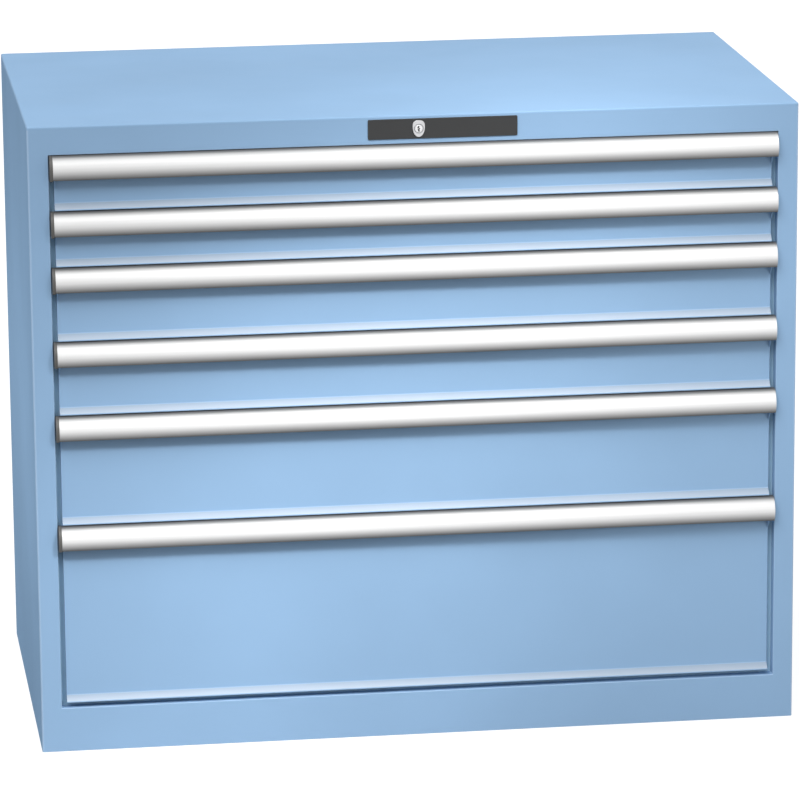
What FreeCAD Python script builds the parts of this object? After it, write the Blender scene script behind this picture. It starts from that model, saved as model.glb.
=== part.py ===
import FreeCAD, Part

import math
import os

from FreeCAD import Vector

# Modular drawer cabinet with six full extension drawers and one central lock.
# Millimetres, +X to the right, +Y to the rear, +Z up.
# The origin is at floor level, in the middle of the overall footprint.
# Most places are given as a depth behind the front plane of the housing.

# Housing
cabinet_width = 1023.0
cabinet_depth = 572.0
housing_sheet = 1.5
rear_sheet = 1.0
post_width = 27.3
fascia_height = 38.0
plinth_height = 60.0
rear_return_width = 18.0

# Stack of drawers, from the top one down
drawer_pitches = [75.0, 75.0, 100.0, 100.0, 150.0, 250.0]
stack_gap = 2.0

# Step behind the edges of the opening that the drawer fronts close on
reveal = 7.0
stop_overlap = 1.0
stop_depth = 16.0
closing_gap = 0.5

# Drawer front
front_sheet = 1.2
front_recess = 7.0
front_gap = 1.0
lip_height = 2.0
slope_height = 7.5

# Gussets at the front's upper corners, measured down from the handle's top
gusset_top_drop = 15.0
gusset_toe_drop = 45.0
gusset_top_forward = 4.5
gusset_bottom_forward = 5.5
gusset_bottom_drop = 31.0

# Handle section, places in front of the front plane and below its top edge
handle_wall = 2.0
handle_height = 32.3
handle_top_forward = 0.5
handle_middle_forward = 12.0
handle_middle_drop = 15.5
handle_bottom_forward = 8.5
handle_leg_height = 14.0
handle_end_gap = 1.05
cap_thickness = 4.0
cap_extra_height = 1.0
cap_spigot_length = 6.0
cap_fit = 0.2
plug_length = 4.0

# Tray
tray_wall = 1.0
slide_space = 24.2
rear_space = 95.5
tray_floor_height = 8.0
tray_top_clearance = 13.0
slot_pitch = 34.0
slot_width = 2.5
slot_margin = 12.5
slot_row_gap = 5.0
slot_length_limit = 60.0

# Slides: one rail on the housing, one carriage with rollers, one rail on the tray
slide_height = 20.0
rail_sheet = 1.5
roller_radius = 9.0
roller_width = 8.0
roller_gap = 0.3
roller_chamfer = 0.5
roller_side_gap = 1.1
axle_radius = 3.0
axle_fit = 0.05
shoulder_radius = 4.5
carriage_web = 3.0
carriage_flange = 1.5
carriage_side_gap = 1.2
carriage_flange_reach = 0.5
flange_side_gap = 1.0
drawer_rail_front = 18.0
drawer_rail_web_drop = 8.0
drawer_rail_rear_gap = 32.0
cabinet_rail_front = 45.0
cabinet_rail_rear_gap = 27.0
carriage_front = 48.0
carriage_rear_gap = 52.0
front_roller_setback = 12.0

# Slotted uprights
upright_width = 30.0
upright_depth = 20.0
upright_front = 55.0
upright_rear_gap = 67.0
upright_slot_pitch = 25.0
upright_slot_width = 3.6
upright_slot_height = 12.0
hook_width = 3.0
hook_height = 10.0
hook_length = 4.0

# Lock panel and cylinder in the fascia
lock_x = 2.5
lock_below_top = 18.05
panel_left = -64.6
panel_right = 133.8
panel_height = 26.5
panel_thickness = 1.5
panel_corner = 1.5
housing_radius = 9.0
housing_fit = 0.1
housing_length = 21.7
shield_width = 17.0
shield_height = 22.7
shield_thickness = 1.5
shield_crown = 2.0
shield_flank_half_width = 6.1
shield_flank_drop = 7.3
rotor_radius = 5.0
rotor_fit = 0.05
rotor_proud = 0.4
keyway_width = 1.2
keyway_height = 6.4
keyway_depth = 4.0
cam_radius = 11.0
cam_thickness = 2.0
cam_gap = 0.3
cam_pin_radius = 2.0
cam_pin_length = 5.0

# Lock bar, lowered by the cam pin to stand in front of the drawers' catches
lock_bar_travel = 10.0
lock_bar_sheet = 3.0
lock_bar_strip = 4.0
lock_bar_front = 25.0
lock_bar_width = 16.0
lock_bar_side_gap = 3.0
lock_arm_height = 16.0
lock_arm_overhang = 6.0
lock_slot_end_gap = 0.6
lock_slot_gap = 0.45
finger_height = 8.0
finger_clearance = 4.0
finger_side_gap = 2.0
catch_height = 9.2
catch_sheet = 2.0
catch_front_gap = 3.0
guide_count = 3
guide_height = 12.0
guide_leg = 1.1
guide_gap = 0.3
guide_reach = 14.0
guide_end_distance = 60.0

# How far a cutting tool runs past the piece that it cuts
cut_margin = 1.0


def circle_through(first, second, third):
    """Centre and radius of the circle through three (depth, height) points."""
    (ax, ay), (bx, by), (cx, cy) = first, second, third
    twice_area = 2 * (ax * (by - cy) + bx * (cy - ay) + cx * (ay - by))
    a_square = ax * ax + ay * ay
    b_square = bx * bx + by * by
    c_square = cx * cx + cy * cy
    centre_x = (a_square * (by - cy) + b_square * (cy - ay) + c_square * (ay - by)) / twice_area
    centre_y = (a_square * (cx - bx) + b_square * (ax - cx) + c_square * (bx - ax)) / twice_area
    return centre_x, centre_y, math.hypot(ax - centre_x, ay - centre_y)


# Handle outline: depth is negative in front of the front plane
handle_top = (-handle_top_forward, 0.0)
handle_middle = (-handle_middle_forward, -handle_middle_drop)
handle_bottom = (-handle_bottom_forward, -handle_height)
arc_depth, arc_height, arc_radius = circle_through(handle_top, handle_middle, handle_bottom)
handle_projection = arc_radius - arc_depth

# Places that follow from the driving dimensions
front_y = -(cabinet_depth - handle_projection) / 2
cabinet_height = plinth_height + stack_gap + sum(drawer_pitches) + fascia_height
half_width = cabinet_width / 2
inner_half_width = half_width - housing_sheet
opening_half_width = half_width - post_width
opening_top = cabinet_height - fascia_height
under_top = cabinet_height - housing_sheet
stop_width = reveal + stop_overlap
stop_half_width = opening_half_width - stop_width
stop_back = stop_depth + housing_sheet
front_half_width = opening_half_width - reveal
front_back = stop_depth - closing_gap

tray_half_width = opening_half_width - slide_space
tray_front = front_back
tray_rear = cabinet_depth - rear_space
drawer_travel = tray_rear - tray_front - 2 * tray_wall

drawer_rail_rear = cabinet_depth - drawer_rail_rear_gap
cabinet_rail_rear = cabinet_depth - cabinet_rail_rear_gap
carriage_rear = cabinet_depth - carriage_rear_gap
front_roller_depth = carriage_front + front_roller_setback
rear_roller_first = cabinet_rail_front + drawer_travel / 2 + roller_radius
rear_roller_last = drawer_rail_rear - drawer_travel / 2 - roller_radius
rear_roller_depth = (rear_roller_first + rear_roller_last) / 2

drawer_rail_inner = tray_half_width
drawer_rail_outer = tray_half_width + rail_sheet
roller_inner = drawer_rail_outer + roller_side_gap
roller_outer = roller_inner + roller_width
carriage_outer = stop_half_width - carriage_side_gap
carriage_inner = carriage_outer - carriage_web
drawer_flange_outer = carriage_inner - flange_side_gap
cabinet_rail_outer = inner_half_width - upright_depth
running_gap = roller_radius + roller_gap
rail_underside = running_gap + rail_sheet
carriage_top = rail_underside + roller_gap + carriage_flange

lock_z = cabinet_height - lock_below_top
panel_bottom = lock_z - panel_height / 2
pin_circle = lock_bar_travel / math.sqrt(2)
cam_front = housing_length + cam_gap
strip_inner = carriage_outer + lock_bar_side_gap
strip_outer = strip_inner + lock_bar_strip
lock_bar_rear = lock_bar_front + lock_bar_width
catch_front = lock_bar_rear + catch_front_gap
finger_bottom = rail_underside + catch_height + finger_clearance


def drawer_levels():
    """Top and bottom height of each drawer's share of the opening."""
    levels = []
    top = opening_top
    for pitch in drawer_pitches:
        levels.append((top, top - pitch))
        top -= pitch
    return levels


levels = drawer_levels()
slide_levels = [bottom + slide_height for top, bottom in levels]


def block(x_low, x_high, depth_low, depth_high, z_low, z_high):
    """Box between two widths, two depths behind the front plane and two heights."""
    corner = Vector(x_low, front_y + depth_low, z_low)
    return Part.makeBox(x_high - x_low, depth_high - depth_low, z_high - z_low, corner)


def fused(shapes):
    """One solid from overlapping or touching shapes, without its seam lines."""
    result = shapes[0].multiFuse(shapes[1:]) if len(shapes) > 1 else shapes[0]
    return result.removeSplitter()


def mirrored(shape):
    """The same piece for the other side of the cabinet."""
    return shape.mirror(Vector(0, 0, 0), Vector(1, 0, 0))


def pair(shape):
    """Right and left pieces as one group of separate solids."""
    return Part.makeCompound([shape, mirrored(shape)])


def along_x(points, x_low, x_high):
    """Straight piece whose section is a polygon of (depth, height) points."""
    corners = [Vector(x_low, front_y + depth, z) for depth, z in points]
    face = Part.Face(Part.makePolygon(corners + corners[:1]))
    return face.extrude(Vector(x_high - x_low, 0, 0))


def along_z(points, z_low, z_high):
    """Straight upright piece whose section is a polygon of (x, depth) points."""
    corners = [Vector(x, front_y + depth, z_low) for x, depth in points]
    face = Part.Face(Part.makePolygon(corners + corners[:1]))
    return face.extrude(Vector(0, 0, z_high - z_low))


def along_y(points, depth_low, depth_high):
    """Straight piece whose section is a polygon of (x, height) points."""
    corners = [Vector(x, front_y + depth_low, z) for x, z in points]
    face = Part.Face(Part.makePolygon(corners + corners[:1]))
    return face.extrude(Vector(0, depth_high - depth_low, 0))


def rod_y(x, z, radius, depth_low, depth_high):
    """Round piece that points from front to rear."""
    foot = Vector(x, front_y + depth_low, z)
    return Part.makeCylinder(radius, depth_high - depth_low, foot, Vector(0, 1, 0))


def rod_x(x_low, x_high, depth, z, radius):
    """Round piece that points across the cabinet."""
    foot = Vector(x_low, front_y + depth, z)
    return Part.makeCylinder(radius, x_high - x_low, foot, Vector(1, 0, 0))


# Housing


def make_side_wall():
    """Right side wall with the return that holds the rear wall."""
    wall = block(inner_half_width, half_width, housing_sheet, cabinet_depth, 0, under_top)
    rear_return = block(inner_half_width - rear_return_width, inner_half_width,
                        cabinet_depth - housing_sheet, cabinet_depth, 0, under_top)
    return fused([wall, rear_return])


def make_rear_wall():
    rear = cabinet_depth - housing_sheet
    return block(-inner_half_width, inner_half_width, rear - rear_sheet, rear,
                 housing_sheet, under_top)


def make_top_panel():
    return block(-half_width, half_width, 0, cabinet_depth, under_top, cabinet_height)


def make_bottom_panel():
    return block(-inner_half_width, inner_half_width, housing_sheet,
                 cabinet_depth - housing_sheet, 0, housing_sheet)


def make_post():
    """Right front post: its face and the return at the opening."""
    face = block(opening_half_width, half_width, 0, housing_sheet, 0, under_top)
    side = block(opening_half_width, opening_half_width + housing_sheet,
                 housing_sheet, stop_back, housing_sheet, under_top)
    return fused([face, side])


def make_stop_strip():
    """Right stop strip, welded to the rear edge of the post's return."""
    return block(stop_half_width, opening_half_width, stop_depth, stop_back, housing_sheet, under_top)


def make_fascia():
    """Front strip above the drawers, with the hole for the lock."""
    section = [
        (0, under_top),
        (0, opening_top),
        (stop_depth, opening_top),
        (stop_depth, opening_top + housing_sheet),
        (housing_sheet, opening_top + housing_sheet),
        (housing_sheet, under_top),
    ]
    strip = along_x(section, -opening_half_width, opening_half_width)
    stop = block(-stop_half_width, stop_half_width, stop_depth, stop_back,
                 opening_top - stop_width, opening_top + housing_sheet)
    hole = rod_y(lock_x, lock_z, housing_radius + housing_fit, -cut_margin, stop_depth)
    return fused([strip, stop]).cut(hole)


def make_plinth_rail():
    """Front strip below the drawers, with the stop of the lowest one."""
    section = [
        (0, 0),
        (0, plinth_height),
        (stop_depth, plinth_height),
        (stop_depth, plinth_height - housing_sheet),
        (housing_sheet, plinth_height - housing_sheet),
        (housing_sheet, 0),
    ]
    strip = along_x(section, -opening_half_width, opening_half_width)
    stop = block(-stop_half_width, stop_half_width, stop_depth, stop_back,
                 plinth_height - housing_sheet, plinth_height + stop_width)
    return fused([strip, stop])


def make_lock_guide(middle_z):
    """Clip behind the right post in which the lock bar slides."""
    leg_start = stop_back + housing_sheet
    inner = strip_inner - guide_gap - guide_leg
    outer = strip_outer + guide_gap + guide_leg
    section = [
        (inner, stop_back),
        (outer, stop_back),
        (outer, leg_start + guide_reach),
        (outer - guide_leg, leg_start + guide_reach),
        (outer - guide_leg, leg_start),
        (inner + guide_leg, leg_start),
        (inner + guide_leg, leg_start + guide_reach),
        (inner, leg_start + guide_reach),
    ]
    return along_z(section, middle_z - guide_height / 2, middle_z + guide_height / 2)


def make_front_frame():
    """Two posts with stop strips, fascia and plinth rail, welded, with the lock bar's guides."""
    post = make_post()
    strip = make_stop_strip()
    pieces = [post, mirrored(post), strip, mirrored(strip), make_fascia(), make_plinth_rail()]
    lowest = slide_levels[-1] + guide_end_distance
    highest = opening_top - guide_end_distance
    for index in range(guide_count):
        share = index / (guide_count - 1)
        pieces.append(make_lock_guide(lowest + share * (highest - lowest)))
    return Part.makeCompound(pieces)


def upright_slot_heights():
    """A slot at each slide, and slots at an even pitch from slide to slide."""
    heights = []
    for upper, lower in zip(slide_levels, slide_levels[1:]):
        count = max(1, round((upper - lower) / upright_slot_pitch))
        step = (upper - lower) / count
        heights += [upper - step * index for index in range(count)]
    return heights + [slide_levels[-1]]


def make_upright(depth_low):
    """Right upright: a channel open to the side wall, slotted in its web."""
    inner = cabinet_rail_outer
    depth_high = depth_low + upright_width
    web_back = inner + rail_sheet
    section = [
        (inner, depth_low),
        (inner, depth_high),
        (inner_half_width, depth_high),
        (inner_half_width, depth_high - rail_sheet),
        (web_back, depth_high - rail_sheet),
        (web_back, depth_low + rail_sheet),
        (inner_half_width, depth_low + rail_sheet),
        (inner_half_width, depth_low),
    ]
    channel = along_z(section, housing_sheet, under_top)
    middle = (depth_low + depth_high) / 2
    slots = []
    for height in upright_slot_heights():
        slots.append(block(inner - cut_margin, web_back + cut_margin,
                           middle - upright_slot_width / 2, middle + upright_slot_width / 2,
                           height - upright_slot_height / 2, height + upright_slot_height / 2))
    return channel.cut(Part.makeCompound(slots))


def make_slotted_uprights():
    front = make_upright(upright_front)
    rear = make_upright(cabinet_depth - upright_rear_gap)
    return Part.makeCompound([front, mirrored(front), rear, mirrored(rear)])


# Slides


def make_cabinet_rail(level):
    """Right rail on the housing: a channel that is open towards the tray."""
    web_inner = cabinet_rail_outer - rail_sheet
    bottom = level - rail_underside
    track = level - running_gap
    ceiling = level + carriage_top + roller_gap
    top = ceiling + rail_sheet
    section = [
        (roller_inner, bottom),
        (cabinet_rail_outer, bottom),
        (cabinet_rail_outer, top),
        (carriage_inner, top),
        (carriage_inner, ceiling),
        (web_inner, ceiling),
        (web_inner, track),
        (roller_inner, track),
    ]
    pieces = [along_y(section, cabinet_rail_front, cabinet_rail_rear)]
    for upright_depth_low in (upright_front, cabinet_depth - upright_rear_gap):
        middle = upright_depth_low + upright_width / 2
        pieces.append(block(web_inner, cabinet_rail_outer + hook_length,
                            middle - hook_width / 2, middle + hook_width / 2,
                            level - hook_height / 2, level + hook_height / 2))
    return fused(pieces)


def make_cabinet_rails():
    rails = [make_cabinet_rail(level) for level in slide_levels]
    return Part.makeCompound(rails + [mirrored(rail) for rail in rails])


def make_drawer_rail(level):
    """Rail on the tray's side: an angle whose flange runs on the rollers."""
    section = [
        (drawer_rail_inner, level - drawer_rail_web_drop),
        (drawer_rail_outer, level - drawer_rail_web_drop),
        (drawer_rail_outer, level + running_gap),
        (drawer_flange_outer, level + running_gap),
        (drawer_flange_outer, level + rail_underside),
        (drawer_rail_inner, level + rail_underside),
    ]
    return along_y(section, drawer_rail_front, drawer_rail_rear)


def make_drawer_rails(level):
    """Left and right rails, and the central lock's catch welded on the right one."""
    rail = make_drawer_rail(level)
    seat = level + rail_underside
    catch = block(drawer_rail_outer, drawer_flange_outer, catch_front, catch_front + catch_sheet,
                  seat, seat + catch_height)
    return Part.makeCompound([rail, mirrored(rail), catch])


def make_carriage(level):
    """Right carriage: a web, a flange over the tray's rail, and two axles."""
    flange_inner = roller_inner - carriage_flange_reach
    section = [
        (carriage_inner, level - roller_radius),
        (carriage_outer, level - roller_radius),
        (carriage_outer, level + carriage_top),
        (flange_inner, level + carriage_top),
        (flange_inner, level + carriage_top - carriage_flange),
        (carriage_inner, level + carriage_top - carriage_flange),
    ]
    pieces = [along_y(section, carriage_front, carriage_rear)]
    for depth in (front_roller_depth, rear_roller_depth):
        pieces.append(rod_x(roller_inner + roller_gap, carriage_outer, depth, level, axle_radius))
        pieces.append(rod_x(roller_outer + roller_gap, carriage_outer, depth, level, shoulder_radius))
    return fused(pieces)


def make_rollers(level, depth):
    """Right and left rollers on one axis."""
    wheel = rod_x(roller_inner, roller_outer, depth, level, roller_radius)
    bore = rod_x(roller_inner - cut_margin, roller_outer + cut_margin, depth, level,
                 axle_radius + axle_fit)
    ring = wheel.cut(bore)
    rims = [edge for edge in ring.Edges
            if isinstance(edge.Curve, Part.Circle) and edge.Curve.Radius > shoulder_radius]
    return pair(ring.makeChamfer(roller_chamfer, rims))


# Drawers


def wall_slots(length, height):
    """Slots of a tray wall in even rows and columns, as (along, up) rectangles."""
    room = height - 2 * slot_margin
    row_count = max(1, math.ceil(room / slot_length_limit))
    row_step = (room + slot_row_gap) / row_count
    slot_height = row_step - slot_row_gap
    column_count = int((length - slot_pitch) / slot_pitch)
    first = (length - (column_count - 1) * slot_pitch) / 2
    slots = []
    for row in range(row_count):
        low = slot_margin + row * row_step
        for column in range(column_count):
            along = first + column * slot_pitch
            slots.append((along - slot_width / 2, low, along + slot_width / 2, low + slot_height))
    return slots


def rectangle_wire(place, low_along, low_up, high_along, high_up):
    """Closed wire of a rectangle whose corners are set by place(along, up)."""
    corners = [
        place(low_along, low_up),
        place(high_along, low_up),
        place(high_along, high_up),
        place(low_along, high_up),
    ]
    return Part.makePolygon(corners + corners[:1])


def make_tray_wall(place, length, height, thickness):
    """Slotted wall: place(along, up) gives its points, thickness its extrusion."""
    outline = rectangle_wire(place, 0, 0, length, height)
    holes = [rectangle_wire(place, *slot) for slot in wall_slots(length, height)]
    face = Part.Face([outline] + holes)
    return face.extrude(thickness)


def make_tray(top, bottom):
    """Tray of folded sheet: a floor and four slotted walls, spot welded."""
    floor_low = bottom + tray_floor_height
    floor_high = floor_low + tray_wall
    height = top - tray_top_clearance - floor_high
    inner_half = tray_half_width - tray_wall
    floor = block(-tray_half_width, tray_half_width, tray_front, tray_rear, floor_low, floor_high)

    def across(depth):
        return lambda along, up: Vector(-inner_half + along, front_y + depth, floor_high + up)

    def lengthwise(along, up):
        return Vector(inner_half, front_y + tray_front + along, floor_high + up)

    inward = Vector(0, tray_wall, 0)
    front = make_tray_wall(across(tray_front), 2 * inner_half, height, inward)
    rear = make_tray_wall(across(tray_rear - tray_wall), 2 * inner_half, height, inward)
    side = make_tray_wall(lengthwise, tray_rear - tray_front, height, Vector(tray_wall, 0, 0))
    return Part.makeCompound([floor, front, rear, side, mirrored(side)])


def make_front(top, bottom):
    """Drawer front: a folded pan with a sloping foot and a lip, and two welded end plates."""
    lip_top = bottom + lip_height
    slope_top = lip_top + slope_height
    face_back = front_recess + front_sheet
    section = [
        (front_back, top),
        (front_recess, top),
        (front_recess, slope_top),
        (0, lip_top),
        (0, bottom),
        (front_back, bottom),
        (front_back, bottom + front_sheet),
        (front_sheet, bottom + front_sheet),
        (front_sheet, lip_top - front_sheet / 2),
        (face_back, slope_top - front_sheet / 2),
        (face_back, top - front_sheet),
        (front_back, top - front_sheet),
    ]
    end_outline = section[:6]
    gusset_outline = [
        (front_recess, top - gusset_top_drop),
        (-gusset_top_forward, top - gusset_top_drop),
        (-gusset_bottom_forward, top - gusset_bottom_drop),
        (front_recess, top - gusset_toe_drop),
    ]
    end_inner = front_half_width - front_sheet
    end = fused([along_x(end_outline, end_inner, front_half_width),
                 along_x(gusset_outline, end_inner, front_half_width)])
    sheet = along_x(section, -end_inner, end_inner)
    return Part.makeCompound([sheet, end, mirrored(end)])


def arc_point(radius, height):
    """Point of the handle's arc at a height, on its forward side."""
    return arc_depth - math.sqrt(radius ** 2 - (height - arc_height) ** 2), height


def section_edge_points(points, x, top):
    return [Vector(x, front_y + depth, top + height) for depth, height in points]


def handle_section(x, top):
    """Face of the handle's hooked section: leg, top web and curved grip."""
    inner_radius = arc_radius - handle_wall
    web_under = -handle_wall
    inner_top = arc_point(inner_radius, web_under)
    inner_middle = arc_point(inner_radius, -handle_middle_drop)
    inner_bottom = arc_point(inner_radius, -handle_height)
    back = (front_recess, 0.0)
    leg_foot = (front_recess, -handle_leg_height)
    leg_front_foot = (front_recess - handle_wall, -handle_leg_height)
    leg_front_top = (front_recess - handle_wall, web_under)
    outer = section_edge_points([handle_top, handle_middle, handle_bottom], x, top)
    inner = section_edge_points([inner_bottom, inner_middle, inner_top], x, top)
    leg = section_edge_points([leg_front_top, leg_front_foot, leg_foot, back], x, top)
    edges = [
        Part.Arc(*outer).toShape(),
        Part.makeLine(outer[2], inner[0]),
        Part.Arc(*inner).toShape(),
        Part.makeLine(inner[2], leg[0]),
        Part.makeLine(leg[0], leg[1]),
        Part.makeLine(leg[1], leg[2]),
        Part.makeLine(leg[2], leg[3]),
        Part.makeLine(leg[3], outer[0]),
    ]
    return Part.Face(Part.Wire(edges))


def handle_ends():
    """Left and right end of the handle's extrusion."""
    reach = opening_half_width - handle_end_gap
    return -reach + cap_thickness, reach


def make_handle(top):
    """Full width grip, one straight extrusion."""
    left, right = handle_ends()
    return handle_section(left, top).extrude(Vector(right - left, 0, 0))


def channel_plug(top, x_low, x_high):
    """Plug that fills the channel between the handle's leg and its grip."""
    inner_radius = arc_radius - handle_wall - cap_fit
    upper = -handle_wall - cap_fit
    lower = -handle_leg_height + cap_fit
    leg_side = front_recess - handle_wall - cap_fit
    rise = (upper - lower) / 3
    outline = [(leg_side, upper)]
    outline += [arc_point(inner_radius, upper - rise * index) for index in range(4)]
    outline.append((leg_side, lower))
    return along_x([(depth, top + height) for depth, height in outline], x_low, x_high)


def make_handle_caps(top):
    """Left end cap with its spigot, and the right end's inset plug."""
    left, right = handle_ends()
    outer = section_edge_points([handle_top, handle_middle, handle_bottom], left, top)
    foot = -handle_height - cap_extra_height
    ends = section_edge_points([(-handle_bottom_forward, foot), (front_recess, foot),
                                (front_recess, 0.0)], left, top)
    edges = [
        Part.Arc(*outer).toShape(),
        Part.makeLine(outer[2], ends[0]),
        Part.makeLine(ends[0], ends[1]),
        Part.makeLine(ends[1], ends[2]),
        Part.makeLine(ends[2], outer[0]),
    ]
    plate = Part.Face(Part.Wire(edges)).extrude(Vector(-cap_thickness, 0, 0))
    spigot = channel_plug(top, left, left + cap_spigot_length)
    plug = channel_plug(top, right - plug_length, right)
    return Part.makeCompound([fused([plate, spigot]), plug])


# Lock


def make_lock_panel():
    """Dark panel on the fascia, around the lock."""
    plate = block(panel_left, panel_right, -panel_thickness, 0, panel_bottom,
                  panel_bottom + panel_height)
    corner_edges = [edge for edge in plate.Edges
                    if abs(edge.tangentAt(edge.FirstParameter).y) > 0.5]
    hole = rod_y(lock_x, lock_z, housing_radius + housing_fit,
                 -panel_thickness - cut_margin, cut_margin)
    return plate.makeFillet(panel_corner, corner_edges).cut(hole)


def shield_outline():
    """Shield with a flat top, straight shoulders and a rounded point."""
    half = shield_width / 2
    top = lock_z + shield_height / 2
    bottom = lock_z - shield_height / 2
    depth = front_y - panel_thickness
    crown = Vector(lock_x, depth, top)
    left_shoulder = Vector(lock_x - half, depth, top - shield_crown)
    right_shoulder = Vector(lock_x + half, depth, top - shield_crown)
    left_hip = Vector(lock_x - half, depth, lock_z)
    right_hip = Vector(lock_x + half, depth, lock_z)
    toe = Vector(lock_x, depth, bottom)
    left_mid = Vector(lock_x - shield_flank_half_width, depth, lock_z - shield_flank_drop)
    right_mid = Vector(lock_x + shield_flank_half_width, depth, lock_z - shield_flank_drop)
    edges = [
        Part.Arc(left_shoulder, crown, right_shoulder).toShape(),
        Part.makeLine(right_shoulder, right_hip),
        Part.Arc(right_hip, right_mid, toe).toShape(),
        Part.Arc(toe, left_mid, left_hip).toShape(),
        Part.makeLine(left_hip, left_shoulder),
    ]
    return Part.Face(Part.Wire(edges))


def make_lock_cylinder():
    """Shield and cylinder housing, bored for the rotor."""
    shield = shield_outline().extrude(Vector(0, -shield_thickness, 0))
    barrel = rod_y(lock_x, lock_z, housing_radius, -panel_thickness, housing_length)
    bore = rod_y(lock_x, lock_z, rotor_radius + rotor_fit,
                 -panel_thickness - shield_thickness - cut_margin, housing_length + cut_margin)
    return fused([shield, barrel]).cut(bore)


def cam_pin_place():
    """Place of the cam's pin with the key upright and the drawers free."""
    reach = pin_circle / math.sqrt(2)
    return lock_x + reach, lock_z + reach


def make_lock_rotor():
    """Rotor with its keyway, and the cam and pin at its rear end."""
    face = -panel_thickness - shield_thickness - rotor_proud
    core = rod_y(lock_x, lock_z, rotor_radius, face, cam_front)
    cam = rod_y(lock_x, lock_z, cam_radius, cam_front, cam_front + cam_thickness)
    pin_x, pin_z = cam_pin_place()
    pin_front = cam_front + cam_thickness
    pin = rod_y(pin_x, pin_z, cam_pin_radius, cam_front, pin_front + cam_pin_length)
    keyway = block(lock_x - keyway_width / 2, lock_x + keyway_width / 2,
                   face - cut_margin, face + keyway_depth,
                   lock_z - keyway_height / 2, lock_z + keyway_height / 2)
    return fused([core, cam, pin]).cut(keyway)


def make_lock_bar():
    """Strip behind the right post, its fingers, and the arm to the lock."""
    pin_x, pin_z = cam_pin_place()
    arm_low = pin_z - lock_arm_height / 2
    arm_high = pin_z + lock_arm_height / 2
    slot_half = cam_pin_radius + lock_slot_gap
    slot_low = pin_x - cam_pin_radius - lock_slot_end_gap
    slot_high = lock_x + pin_circle + cam_pin_radius + lock_slot_end_gap
    arm = block(lock_x - lock_arm_overhang, strip_inner, lock_bar_front,
                lock_bar_front + lock_bar_sheet, arm_low, arm_high)
    slot = block(slot_low, slot_high, lock_bar_front - cut_margin,
                 lock_bar_front + lock_bar_sheet + cut_margin,
                 pin_z - slot_half, pin_z + slot_half)
    foot = slide_levels[-1] + finger_bottom
    strip = block(strip_inner, strip_outer, lock_bar_front, lock_bar_rear, foot, arm_high)
    pieces = [strip, arm.cut(slot)]
    finger_inner = tray_half_width + finger_side_gap
    for level in slide_levels:
        low = level + finger_bottom
        pieces.append(block(finger_inner, strip_inner, lock_bar_rear - lock_bar_sheet,
                            lock_bar_rear, low, low + finger_height))
    return Part.makeCompound(pieces)


def build_parts():
    """Every piece under its own name."""
    side_wall = make_side_wall()
    parts = {
        "left_side_wall": mirrored(side_wall),
        "right_side_wall": side_wall,
        "rear_wall": make_rear_wall(),
        "top_panel": make_top_panel(),
        "bottom_panel": make_bottom_panel(),
        "front_frame": make_front_frame(),
        "slotted_uprights": make_slotted_uprights(),
        "cabinet_rails": make_cabinet_rails(),
        "lock_panel": make_lock_panel(),
        "lock_cylinder": make_lock_cylinder(),
        "lock_rotor": make_lock_rotor(),
        "lock_bar": make_lock_bar(),
    }
    for number, (zone_top, zone_bottom) in enumerate(levels, start=1):
        name = f"drawer_{number}"
        top = zone_top - front_gap / 2
        bottom = zone_bottom + front_gap / 2
        if number == len(levels):
            bottom = plinth_height + reveal
        level = slide_levels[number - 1]
        carriage = make_carriage(level)
        parts[f"{name}_tray"] = make_tray(zone_top, zone_bottom)
        parts[f"{name}_front"] = make_front(top, bottom)
        parts[f"{name}_handle"] = make_handle(top)
        parts[f"{name}_handle_caps"] = make_handle_caps(top)
        parts[f"{name}_rails"] = make_drawer_rails(level)
        parts[f"{name}_carriage"] = pair(carriage)
        parts[f"{name}_front_rollers"] = make_rollers(level, front_roller_depth)
        parts[f"{name}_rear_rollers"] = make_rollers(level, rear_roller_depth)
    return parts


def main():
    os.makedirs("parts", exist_ok=True)
    for node, shape in build_parts().items():
        shape.exportStep(f"parts/{node}.step")
    print("front plane y", round(front_y, 4))
    print("cabinet height", cabinet_height)
    print("drawer travel", round(drawer_travel, 4))
    print("slide levels", slide_levels)
    print("roller depths", front_roller_depth, round(rear_roller_depth, 4))
    print("handle projection", round(handle_projection, 4))


main()
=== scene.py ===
import logging
import math
from contextlib import contextmanager
from dataclasses import dataclass, field
from enum import Enum
from typing import Callable, ClassVar, Iterator, Sequence

import bmesh
import bpy
from mathutils import Matrix, Quaternion, Vector


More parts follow.
